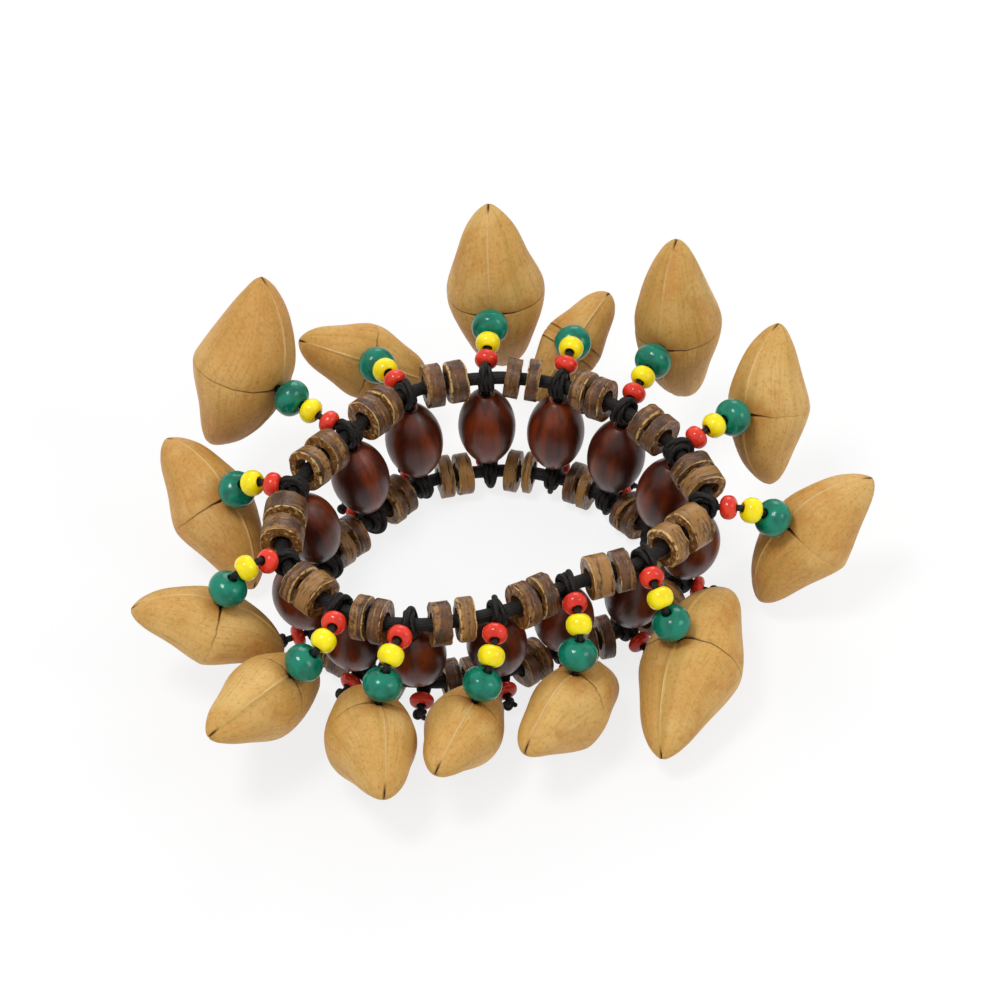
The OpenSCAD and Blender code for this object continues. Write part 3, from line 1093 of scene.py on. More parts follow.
class CordTree(GeoTree):
    """Sweeps a round cord along paths of edges, and stores where each point lies on it."""

    def __init__(self) -> None:
        """Builds the tree."""
        super().__init__("laid_cord", {
            "Radius": PLAIN,
            "Sides": "NodeSocketInt",
            "Finish": "NodeSocketMaterial",
        })
        g, t = self.graph, self.takes
        path = g.add("GeometryNodeMeshToCurve", {"Mesh": t["Geometry"]}).outputs[0]
        length = g.add("GeometryNodeSplineParameter").outputs["Length"]
        path = self.stored(path, "run", "FLOAT", length)
        circle = g.add("GeometryNodeCurvePrimitiveCircle", {"Resolution": t["Sides"], "Radius": t["Radius"]})
        turn = g.math("MULTIPLY", g.add("GeometryNodeSplineParameter").outputs["Factor"], math.tau)
        rim = g.combine(g.math("COSINE", turn), g.math("SINE", turn), 0.0)
        profile = self.stored(circle.outputs[0], "rim", "FLOAT_VECTOR", rim)
        tube = g.add("GeometryNodeCurveToMesh", {"Curve": path, "Profile Curve": profile, "Fill Caps": True})
        self.close(tube.outputs[0])


# Meshes


def new_object(
    name: str, verts: Iterable[Sequence[float]], edges: Sequence = (), faces: Sequence = (),
) -> bpy.types.Object:
    """Object with a plain mesh, linked into the scene.

    Args:
        name: Name of the object and the mesh.
        verts: Points in metres.
        edges: Pairs of point numbers.
        faces: Loops of point numbers.

    Returns:
        The object.
    """
    mesh = bpy.data.meshes.new(name)
    mesh.from_pydata([tuple(v) for v in verts], edges, faces)
    mesh.shade_smooth()
    thing = bpy.data.objects.new(name, mesh)
    bpy.context.scene.collection.objects.link(thing)
    return thing


def store(mesh: bpy.types.Mesh, name: str, kind: str, values: Sequence) -> None:
    """Stores a value for every point of a mesh.

    Args:
        mesh: Mesh that takes the attribute.
        name: Name of the attribute.
        kind: FLOAT, INT or FLOAT_VECTOR.
        values: One value a point.
    """
    attribute = mesh.attributes.new(name, kind, "POINT")
    if kind == "FLOAT_VECTOR":
        attribute.data.foreach_set("vector", [c for v in values for c in v])
    else:
        attribute.data.foreach_set("value", list(values))


def woven(rows: int, n: int, closed: bool) -> list[tuple[int, ...]]:
    """Faces between rows of points, where each row is a loop.

    Args:
        rows: Number of rows.
        n: Points in a row.
        closed: Whether the last row joins the first.

    Returns:
        Loops of point numbers.
    """
    faces: list[tuple[int, ...]] = []
    for i in range(rows if closed else rows - 1):
        k = (i + 1) % rows
        for j in range(n):
            m = (j + 1) % n
            faces.append((i * n + j, i * n + m, k * n + m, k * n + j))
    return faces


def face_out(thing: bpy.types.Object) -> None:
    """Turns all faces of a closed mesh outwards.

    Args:
        thing: Object that holds the mesh.
    """
    work = bmesh.new()
    work.from_mesh(thing.data)
    bmesh.ops.recalc_face_normals(work, faces=work.faces)
    work.to_mesh(thing.data)
    work.free()


@dataclass(frozen=True)
class Turning:
    """Half section of a turned bead, in mm, as points of radius, height and zone round the solid."""

    points: tuple[tuple[float, float, float], ...]
    lip: ClassVar[float] = 0.15
    mouth: ClassVar[float] = 0.25
    end_wear: ClassVar[float] = 0.12
    end_power: ClassVar[int] = 24

    @staticmethod
    def mirrored(top: Profile, flank: Profile) -> "Turning":
        """Section whose lower end mirrors its top."""
        return Turning((*top, *flank, *((r, -z, zone) for r, z, zone in reversed(top))))

    @staticmethod
    def rounded(
        bore: float, radius: float, length: float, soft: float, power: float, steps: int = 5,
    ) -> "Turning":
        """Section of a bead with rounded outer edges and a slightly broken bore.

        Args:
            bore: Radius of the bore.
            radius: Outer radius.
            length: Length of the bead.
            soft: Radius of the rounding.
            power: 2 for a round edge, more for a squarer one.
            steps: Points on each rounding.

        Returns:
            The section.
        """
        half, lip, face = length / 2, min(Turning.lip, soft / 2), Zone.FACE.value
        inner = [(bore, half - lip - 0.1, face), (bore + lip * 0.4, half - lip * 0.35, face)]
        inner.append((bore + lip * 1.2, half, face))
        flat = radius - soft - bore - lip
        middle = [(radius - soft - flat * f, half, face) for f in (0.6, 0.3)]
        edge: Profile = []
        for i in range(steps + 1):
            a = math.pi / 2 * i / steps
            r = radius - soft + soft * math.sin(a) ** (2 / power)
            z = half - soft + soft * math.cos(a) ** (2 / power)
            edge.append((r, z, 1.0 - i / steps))
        flank = [(radius, (half - soft) * f, Zone.SIDE.value) for f in (0.5, 0.0, -0.5)]
        return Turning.mirrored(inner + middle + edge, flank)

    @staticmethod
    def oval(bore: float, radius: float, half: float, power: float, steps: int) -> "Turning":
        """Section of a bead with full round flanks and domed ends.

        Args:
            bore: Radius of the bore.
            radius: Outer radius.
            half: Half length on the axis.
            power: 2 for an ellipse, more for a squarer bead.
            steps: Points along the flank.

        Returns:
            The section.
        """
        flank, face = [], Zone.FACE.value
        first = math.asin((bore + Turning.mouth) / radius)
        for i in range(steps + 1):
            a = first + (math.pi - 2 * first) * i / steps
            z = math.copysign(abs(math.cos(a)) ** (2 / power), math.cos(a))
            flank.append((radius * math.sin(a) ** (2 / power), half * z, Zone.SIDE.value))
        r, z, _ = flank[0]
        top = [(bore, z - 0.45, face), (bore + 0.06, z - 0.12, face), ((bore + r) / 2, z - 0.01, face)]
        return Turning.mirrored(top, flank)

    @staticmethod
    def barrel(bore: float, radius: float, length: float, bulge: float, steps: int) -> "Turning":
        """Section of a barrel bead with a round flank and small worn ends.

        Args:
            bore: Radius of the bore.
            radius: Radius at the middle.
            length: Length of the bead.
            bulge: Radius of the flank's arc.
            steps: Points along the flank.

        Returns:
            The section.
        """
        half = length / 2
        end = radius - bulge + math.sqrt(bulge**2 - half**2)
        flank, face = [], Zone.FACE.value
        for i in range(steps + 1):
            z = half * math.cos(math.pi * i / steps)
            wear = Turning.end_wear * (abs(z) / half) ** Turning.end_power
            flank.append((radius - bulge + math.sqrt(bulge**2 - z**2) - wear, z, Zone.SIDE.value))
        top = [(bore, half - 0.5, face), (bore + 0.1, half - 0.12, face), (end - 0.55, half - 0.02, face)]
        return Turning.mirrored(top, flank)

    def turn(
        self, name: str, sides: int, uneven: float = 0.0, chip: float = 0.0, seed: float = 0.0,
    ) -> bpy.types.Object:
        """Turns the section into a bead along Z.

        Args:
            name: Name of the object.
            sides: Faces round the bead.
            uneven: How far the outline and the faces stray inwards, in mm.
            chip: Depth of the chips in the outer edges, in mm.
            seed: Seed of both.

        Returns:
            The bead, with its own place and zone stored on it.
        """
        verts, zones = [], []
        widest = max(r for r, _, _ in self.points)
        for j in range(sides):
            a = math.tau * j / sides
            ray = Vector((math.cos(a), math.sin(a), 0))
            stray = uneven * ripple(1.1 * ray + Vector((seed, 0, 0)))
            for r, z, zone in self.points:
                end = Vector((0, 0, math.copysign(3.0, z)))
                bite = noise.noise(2.3 * ray + end + Vector((0, seed, 0)))
                cut = chip * max(0.0, bite) * 2 * (1 - 2 * abs(zone - Zone.EDGE.value))
                warp = uneven * ripple(0.9 * ray + end + Vector((0, 0, seed))) * zone
                out = r - (stray + cut) * (r / widest) ** 2
                verts.append((out * ray.x, out * ray.y, z - math.copysign(min(abs(z), warp + cut * 0.7), z)))
                zones.append(zone)
        faces = woven(sides, len(self.points), True)
        bead = new_object(name, (MM * Vector(v) for v in verts), faces=faces)
        face_out(bead)
        store(bead.data, "local", "FLOAT_VECTOR", verts)
        store(bead.data, "zone", "FLOAT", zones)
        return bead


@dataclass(frozen=True)
class Lumps:
    """Unevenness of strung pieces: the depth and the size of the lumps in mm, and their seed."""

    depth: float = 0.0
    size: float = 3.0
    seed: float = 0.0


class Workshop:
    """What the sub-assemblies share: the layout, the finishes and the two trees."""

    def __init__(self) -> None:
        """Works out the layout and builds finishes and trees."""
        self.cords, self.beads, self.shells, self.fits = CordSizes(), BeadSizes(), ShellSizes(), Fits()
        self.layout = Layout(self.cords, self.beads, self.shells, self.fits)
        self.finishes = Finishes()
        self.strung = StringTree()
        self.cord = CordTree()

    def string(
        self, name: str, beads: Sequence[bpy.types.Object], spots: Sequence[Spot],
        finish: bpy.types.Material, lumps: Lumps = Lumps(),
    ) -> bpy.types.Object:
        """Strings copies of some beads on spots.

        Args:
            name: Name of the new piece.
            beads: Patterns that the spots choose from.
            spots: Places of the copies.
            finish: Material of the piece.
            lumps: Unevenness of the copies.

        Returns:
            The piece.
        """
        points = new_object(name, [spot.place * MM for spot in spots])
        store(points.data, "turn", "FLOAT_VECTOR", [spot.turn.to_euler("XYZ") for spot in spots])
        store(points.data, "stretch", "FLOAT_VECTOR", [spot.stretch for spot in spots])
        store(points.data, "tone", "FLOAT", [spot.tone for spot in spots])
        store(points.data, "pattern", "INT", [spot.pattern for spot in spots])
        tray = bpy.data.collections.new(name + "_tray")
        bpy.context.scene.collection.children.link(tray)
        for bead in beads:
            tray.objects.link(bead)
        self.strung.run(points, **{
            "Beads": tray, "Roughen": lumps.depth * MM, "Lump size": lumps.size * MM,
            "Seed": lumps.seed, "Finish": finish,
        })
        bpy.data.collections.remove(tray)
        return points

    def sweep(
        self, name: str, paths: Sequence[Sequence[Vector]], radius: float, finish: bpy.types.Material,
        sides: int = 12, closed: bool = False,
    ) -> bpy.types.Object:
        """Sweeps a cord along paths.

        Args:
            name: Name of the new piece.
            paths: Points of each path, in mm.
            radius: Radius of the cord, in mm.
            finish: Material of the cord.
            sides: Faces round the cord.
            closed: Whether each path runs round to its start.

        Returns:
            The cord.
        """
        verts, edges = [], []
        for path in paths:
            first = len(verts)
            verts.extend(point * MM for point in path)
            edges.extend((first + i, first + i + 1) for i in range(len(path) - 1))
            if closed:
                edges.append((len(verts) - 1, first))
        piece = new_object(name, verts, edges)
        return self.cord.run(piece, Radius=radius * MM, Sides=sides, Finish=finish)


def discard(things: Iterable[bpy.types.Object]) -> None:
    """Removes patterns that are no longer needed."""
    for thing in list(things):
        bpy.data.objects.remove(thing)


def commit(piece: bpy.types.Object, body: str, slot: str, *nodes: str) -> None:
    """Hands a finished piece over to a body.

    Args:
        piece: The piece.
        body: Body that it moves with.
        slot: Record slot of its finish; not used.
        nodes: CAD nodes that it stands for.
    """
    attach(piece, body)
    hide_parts(*nodes)
    log.info("%s rides on %s with %d faces", piece.name, body, len(piece.data.polygons))


def soften(path: Sequence[Vector], rounds: int, closed: bool) -> list[Vector]:
    """Path with its corners cut round.

    Args:
        path: Corner points.
        rounds: How often the corners are cut.
        closed: Whether the path runs round to its start.

    Returns:
        The softer path.
    """
    points = list(path)
    for _ in range(rounds):
        out = [] if closed else [points[0]]
        last = len(points) if closed else len(points) - 1
        for i in range(last):
            a, b = points[i], points[(i + 1) % len(points)]
            out.extend((a.lerp(b, 0.25), a.lerp(b, 0.75)))
        if not closed:
            out.append(points[-1])
        points = out
    return points


# Sub-assemblies


@dataclass
class NutShells:
    """The fourteen two-winged nut shells, each with its seam, keel and tip slits."""

    shop: Workshop
    seam_depth: float = 0.07
    pried_depth: float = 0.9
    slit_length: float = 1.2
    crack_share: float = 0.6
    lump_depth: float = 0.45
    wrinkle_depth: float = 0.12
    pucker_reach: float = 4.6
    pucker_depth: float = 0.5
    keel_half: float = 0.28
    keel_tone: float = 0.6
    seam_half: float = 0.13
    pried_half: float = 0.26
    seam_stray: float = 0.2
    slit_half: float = 0.12
    slit_spread: float = 0.22
    hole_reach: float = 1.2
    hole_depth: float = 0.6
    tip_tuck: float = 0.012
    sink_limit: float = 0.97
    # The crack values, with crack_share, set how far from the hole the seam is painted dark as shade.
    crack_least: float = 0.4
    crack_spread: float = 1.3
    crack_fade: float = 0.6
    crack_trace: float = 0.08
    seam_edge: float = 0.06
    slit_keel: float = 0.95
    slit_back: float = 0.8
    tip_calm: float = 6.0
    lump_scale: float = 0.13
    fold_scale: float = 3.2
    columns: list[float] = field(default_factory=list)

    def __post_init__(self) -> None:
        """Sets the columns round a shell, closer along its keel and its back."""
        near = [0, 1.5, 3, 4.5, 6.5, 9, 12, 16, 21]
        middle = [27 + 6 * i for i in range(22)]
        half = near + middle + [180 - v for v in reversed(near)]
        self.columns = [180 - v for v in half] + [180 + v for v in reversed(half[1:-1])]

    def stations(self, length: float) -> list[float]:
        """Places along a shell from wing tip to wing tip, closer at the seam and the tips.

        Args:
            length: Length of the shell, in mm.

        Returns:
            Shares from -1 to 1 without the two ends.
        """
        seam = [2 * y / length for y in (0.08, 0.16, 0.25, 0.36, 0.55, 0.85, 1.3)]
        wing = [0.11 + 0.0345 * i for i in range(23)]
        tip = [0.888, 0.904, 0.92, 0.935, 0.95, 0.962, 0.973, 0.982, 0.99, 0.996]
        half = seam + wing + tip
        return [-u for u in reversed(half)] + [0.0] + half

    def section(self, a: float, depth: float, thick: float) -> tuple[float, float, float]:
        """Middle, half depth and half thickness of a shell at a share of its half length.

        Args:
            a: Share of the half length, from 0 to 1.
            depth: Depth of the shell.
            thick: Thickness of the shell.

        Returns:
            The three sizes of the section.
        """
        s = self.shop.shells
        belly = s.tip_share * depth * a**2.2
        back = depth * (1 - (1 - s.tip_share) * a)
        cap = math.sqrt(max(0.0, 1 - a**16))
        wide = thick / 2 * (1 - a**1.7) ** 0.85 * (1 - 0.12 * math.sin(math.pi * a) ** 2)
        return (belly + back) / 2, ((back - belly) / 2 + s.tip_r * a) * cap, (wide + s.tip_r * a) * cap

    def point(self, u: float, q: float, size: Vector, k: int) -> tuple[Vector, dict[Mark, float]]:
        """One point of a shell, and the features drawn on it.

        Args:
            u: Share of the half length, from -1 to 1.
            q: Angle round the section in degrees, 180 on the keel.
            size: Depth, length and thickness of the shell.
            k: Number of the shell.

        Returns:
            The point in the shell's own frame, and its marks.
        """
        a = abs(u)
        middle, deep, wide = self.section(a, size.x, size.z)
        c, s = math.cos(math.radians(q)), math.sin(math.radians(q))
        y = size.y / 2 * (u - self.tip_tuck * u**9)
        keel_side = abs(q - 180) / 180 < 0.5
        side = wide * s
        marks = {mark: 0.0 for mark in Mark}

        keel = fade(abs(side), self.keel_half) * keel_side * math.sin(math.pi * min(1, a))
        rise = self.shop.shells.keel_h * keel
        marks[Mark.KEEL] = self.keel_tone * keel

        seed = Vector((7.3 * k, 3.1 * k, 5.7 * k))
        round_way = Vector((c, s, 0))
        pried = fade(abs(side), size.z / 4) if keel_side else 0.0
        seam_half = self.seam_half + self.pried_half * pried
        stray = self.seam_stray * noise.noise(5.0 * round_way + seed)
        from_hole = Vector((middle + deep * c, y, wide * s)).length / size.x
        crack = self.crack_share * (self.crack_least + self.crack_spread * scatter(k, Salt.CRACK))
        trace = self.crack_trace * noise.noise(2.4 * round_way - seed)
        plain = fade(from_hole, crack) ** self.crack_fade + self.crack_trace + trace
        seam = fade(abs(y + stray), seam_half)
        sink = seam * (self.seam_depth + (self.pried_depth - self.seam_depth) * pried**0.5)
        drawn = fade(abs(y + stray), seam_half + self.seam_edge)
        # Seam mark: the seam's own faint crease, full dark as painted shade in the pried crack near the
        # hole.
        marks[Mark.SEAM] = min(1.0, 1.3 * drawn) * min(1.0, plain)

        slit_start = 1 - 2 * self.slit_length / size.y
        if a > slit_start:
            open_share = min(1.0, 1.6 * (a - slit_start) / (1 - slit_start))
            slit_half = self.slit_half + self.slit_spread * open_share
            slit = fade(abs(side), slit_half) * open_share
            sink += slit * deep * (self.slit_keel if keel_side else self.slit_back)
            # Slit mark: painted shade in the tip slits.
            marks[Mark.SLIT] = min(1.0, 1.5 * slit)

        base = Vector((middle + deep * c, y, -wide * s))
        calm = min(1.0, self.tip_calm * (1 - a))
        sink += self.lump_depth * ripple(base * self.lump_scale + seed) * calm
        streak = ripple(Vector((0.07 * y, self.fold_scale * c, self.fold_scale * s)) + seed)
        sink += self.wrinkle_depth * streak * calm
        near_hole = fade(base.length, self.hole_reach)
        sink += self.hole_depth * near_hole
        # Painted shade: the hole's dimple is coloured dark with the seam mark.
        marks[Mark.SEAM] = max(marks[Mark.SEAM], min(1.0, 1.4 * near_hole))
        pucker = fade(base.length, self.pucker_reach)
        fold = ripple(self.fold_scale * Vector((0, base.y, base.z)).normalized() + seed)
        sink += self.pucker_depth * pucker * fold
        marks[Mark.STAIN] = min(1.0, 1.5 * pucker)
        push = min(sink - rise, self.sink_limit * deep) if deep > 0 else 0.0
        reach = min(sink, self.sink_limit * wide) if wide > 0 else 0.0
        return Vector((middle + (deep - push) * c, y, -(wide - reach) * s)), marks

    def place(self, k: int) -> Matrix:
        """Turn and place of shell k, in mm.

        Args:
            k: Number of the shell.

        Returns:
            A 4 by 4 matrix.
        """
        d = DANGLES[k]
        out = Matrix.Translation(self.shop.layout.hole(k))
        for angle, axis in ((d.azimuth, "Z"), (-d.pitch, "Y"), (d.roll, "X")):
            out = out @ Matrix.Rotation(math.radians(angle), 4, axis)
        return out

    def build(self, k: int) -> bpy.types.Object:
        """Makes shell k.

        Args:
            k: Number of the shell.

        Returns:
            The shell, in place.
        """
        d, s = DANGLES[k], self.shop.shells
        size = d.size * Vector((s.depth * d.depth, s.length, s.thick * d.thick))
        turn = self.place(k)
        verts, grain = [], []
        marks: dict[Mark, list[float]] = {mark: [] for mark in Mark}

        def put(u: float, q: float) -> None:
            """Adds one point with its grain and marks.

            Args:
                u: Share of the half length.
                q: Angle round the section, in degrees.
            """
            spot, drawn = self.point(u, q, size, k)
            verts.append(MM * (turn @ spot))
            angle = math.radians(q)
            grain.append((spot.y + 90 * k, 10 * math.cos(angle), 10 * math.sin(angle)))
            for mark in Mark:
                marks[mark].append(drawn[mark])

        stations = self.stations(size.y)
        n = len(self.columns)
        for u in stations:
            for q in self.columns:
                put(u, q)
        put(-1.0, 180.0)
        put(1.0, 180.0)
        faces = woven(len(stations), n, False)
        first, last = len(verts) - 2, len(verts) - 1
        end = (len(stations) - 1) * n
        for j in range(n):
            m = (j + 1) % n
            faces.append((first, m, j))
            faces.append((last, end + j, end + m))
        shell = new_object(numbered("nut_shell", k), verts, faces=faces)
        face_out(shell)
        store(shell.data, "grain", "FLOAT_VECTOR", grain)
        store(shell.data, "tone", "FLOAT", [scatter(k, Salt.HUSK_TONE)] * len(verts))
        for mark in Mark:
            store(shell.data, mark.value, "FLOAT", marks[mark])
        shell.data.materials.append(self.shop.finishes.husk)
        return shell

    def dress(self) -> None:
        """Makes all shells and hands them to their dangles."""
        for k in range(len(DANGLES)):
            commit(self.build(k), numbered("dangle", k), "nut_shell", numbered("shell", k))


@dataclass(frozen=True)
class DiscCut:
    """How a disc is cut: extra bore, rounding and squareness of its edges, unevenness and chips."""

    wide: float
    soft: float
    power: float
    uneven: float
    chip: float


DISC_CUTS: tuple[DiscCut, ...] = (
    DiscCut(0.0, 0.45, 2.0, 0.35, 0.3),
    DiscCut(0.45, 0.6, 2.4, 0.5, 0.55),
    DiscCut(0.25, 0.35, 2.0, 0.3, 0.7),
    DiscCut(0.35, 0.9, 2.0, 0.45, 0.4),
    DiscCut(0.1, 0.5, 3.0, 0.6, 0.45),
)


@dataclass
class BandBeads:
    """The coconut discs, the barrels and the red beads of the band."""

    shop: Workshop
    fill: float = 0.35
    disc_sides: int = 40
    disc_seed: float = 3.7
    barrel_steps: int = 26
    barrel_sides: int = 48
    red_power: float = 2.25
    red_steps: int = 14
    red_sides: int = 28
    disc_lumps: Lumps = Lumps(0.3, 3.0, 4.0)
    barrel_lumps: Lumps = Lumps(0.1, 4.0, 1.0)
    red_lumps: Lumps = Lumps(0.12, 1.6, 2.0)

    def discs(self) -> None:
        """Strings the coconut discs on both rings."""
        shop, layout, sizes = self.shop, self.shop.layout, self.shop.beads
        patterns = []
        for n, cut in enumerate(DISC_CUTS):
            bore = sizes.disc_bore_d / 2 + cut.wide
            section = Turning.rounded(bore, sizes.disc_d / 2, sizes.disc_t, cut.soft, cut.power)
            seed = self.disc_seed * n
            patterns.append(section.turn(f"disc_{n}", self.disc_sides, cut.uneven, cut.chip, seed))
        spots = []
        for ring in Ring:
            for k in range(len(RUNGS)):
                start, end = layout.span(ring, k)
                gap, way = (end - start).length, (end - start).normalized()
                thick = [share * sizes.disc_t * gap / layout.typical_gap for share in RUNGS[k].discs]
                spare = gap - sum(thick)
                inset = shop.fits.end_spare * spare
                runs = (inset + thick[0] / 2, gap - inset - thick[1] / 2)
                axis = "Y" if ring is Ring.UPPER else "X"
                lean = Matrix.Rotation(math.radians(RUNGS[k].lean), 3, axis)
                for i, run in enumerate(runs):
                    n = len(spots)
                    towards = self.fill / 2 if i else -self.fill / 2
                    spin = Matrix.Rotation(math.tau * scatter(n, Salt.DISC_SPIN), 3, "Z")
                    stretch = (1.0, 1.0, (thick[i] + self.fill) / sizes.disc_t)
                    spots.append(Spot(
                        start + (run + towards) * way, aim(way) @ lean @ spin, stretch,
                        scatter(n, Salt.DISC_TONE), n % len(patterns),
                    ))
        piece = shop.string("coconut_disc_beads", patterns, spots, shop.finishes.coconut, self.disc_lumps)
        discard(patterns)
        commit(piece, BAND, "coconut", "coconut_discs")

    def barrels(self) -> None:
        """Stands a barrel on each rung."""
        shop, layout, sizes = self.shop, self.shop.layout, self.shop.beads
        bore = layout.cord_r + shop.fits.bore_play
        radius, steps = sizes.barrel_d / 2, self.barrel_steps
        section = Turning.barrel(bore, radius, sizes.barrel_l, layout.bulge_r, steps)
        pattern = section.turn("barrel", self.barrel_sides)
        spots = []
        for k in range(len(RUNGS)):
            place = (layout.at(Ring.UPPER, k) + layout.at(Ring.LOWER, k)) / 2
            turn = aim(layout.rung_dir(k), 360 * scatter(k, Salt.BARREL_SPIN))
            spots.append(Spot(place, turn, tone=scatter(k, Salt.BARREL_TONE)))
        piece = shop.string("barrel_rung_beads", [pattern], spots, shop.finishes.lacquer, self.barrel_lumps)
        discard([pattern])
        commit(piece, BAND, "dark_wood", "barrel_beads")

    def reds(self) -> None:
        """Puts a red bead on each stem and each stub."""
        shop, layout, sizes = self.shop, self.shop.layout, self.shop.beads
        bore = layout.cord_r + shop.fits.bore_play
        section = Turning.oval(bore, sizes.glass_d / 2, sizes.red_l / 2, self.red_power, self.red_steps)
        pattern = section.turn("red", self.red_sides)
        spots = []
        seat = shop.fits.seat_gap
        for k in range(len(RUNGS)):
            full = layout.domed(k, sizes.glass_d / 2, seat + sizes.red_l + shop.fits.swing_gap)
            runs = ((Ring.UPPER, layout.stem_dir(k), layout.red_at(k) - seat + full / 2, full / sizes.red_l),
                    (Ring.LOWER, layout.stub_dir(k), layout.stop_at, 1.0))
            for ring, way, run, share in runs:
                turn = aim(way, 360 * scatter(k, Salt.RED_SPIN))
                spots.append(Spot(layout.at(ring, k) + run * way, turn, (1.0, 1.0, share)))
        piece = shop.string("red_stop_beads", [pattern], spots, shop.finishes.red, self.red_lumps)
        discard([pattern])
        commit(piece, BAND, "red_glass", "red_beads")

    def dress(self) -> None:
        """Makes all beads of the band."""
        self.discs()
        self.barrels()
        self.reds()


@dataclass
class DangleBeads:
    """The yellow and green beads of each dangle."""

    shop: Workshop
    yellow_power: float = 2.25
    yellow_steps: int = 16
    yellow_sides: int = 28
    yellow_wide: float = 1.02
    yellow_spread: float = 0.05
    green_power: float = 2.2
    green_steps: int = 20
    green_sides: int = 36
    yellow_lumps: Lumps = Lumps(0.12, 1.8, 3.0)
    green_lumps: Lumps = Lumps(0.1, 3.0, 5.0)

    def dress(self) -> None:
        """Makes a yellow and a green bead for each dangle."""
        shop, layout, sizes, fits = self.shop, self.shop.layout, self.shop.beads, self.shop.fits
        bore = layout.cord_r + fits.bore_play
        half_y, half_g = sizes.yellow_l / 2, sizes.green_l / 2
        section = Turning.oval(bore, sizes.glass_d / 2, half_y, self.yellow_power, self.yellow_steps)
        yellow = section.turn("yellow", self.yellow_sides)
        section = Turning.oval(bore, sizes.green_d / 2, half_g, self.green_power, self.green_steps)
        green = section.turn("green", self.green_sides)
        for k in range(len(DANGLES)):
            body, way, into = numbered("dangle", k), layout.bead_dir(k), layout.shell_dir(k)
            wide = self.yellow_wide + self.yellow_spread * scatter(k, Salt.YELLOW_WIDTH)
            radius = wide * sizes.glass_d / 2
            far = fits.swing_gap + sizes.yellow_l + layout.nestle(k, radius, sizes.yellow_l)
            full = layout.domed(k, radius, far)
            turn = aim(way, 360 * scatter(k, Salt.YELLOW_SPIN))
            spot = Spot(layout.hinge(k) + (far - full / 2) * way, turn, (wide, wide, full / sizes.yellow_l))
            name = numbered("yellow_glass", k)
            piece = shop.string(name, [yellow], [spot], shop.finishes.yellow, self.yellow_lumps)
            commit(piece, body, "yellow_glass", numbered("yellow_bead", k))
            full = sizes.green_l + layout.nestle(k, sizes.green_d / 2, sizes.green_l)
            place = layout.bend(k) + (layout.bend_gap(k) + sizes.green_l - full / 2) * into
            turn = aim(into, 360 * scatter(k, Salt.GREEN_SPIN))
            spot = Spot(place, turn, (1.0, 1.0, full / sizes.green_l))
            name = numbered("green_wood", k)
            piece = shop.string(name, [green], [spot], shop.finishes.green, self.green_lumps)
            commit(piece, body, "green_wood", numbered("green_bead", k))
        discard([yellow, green])


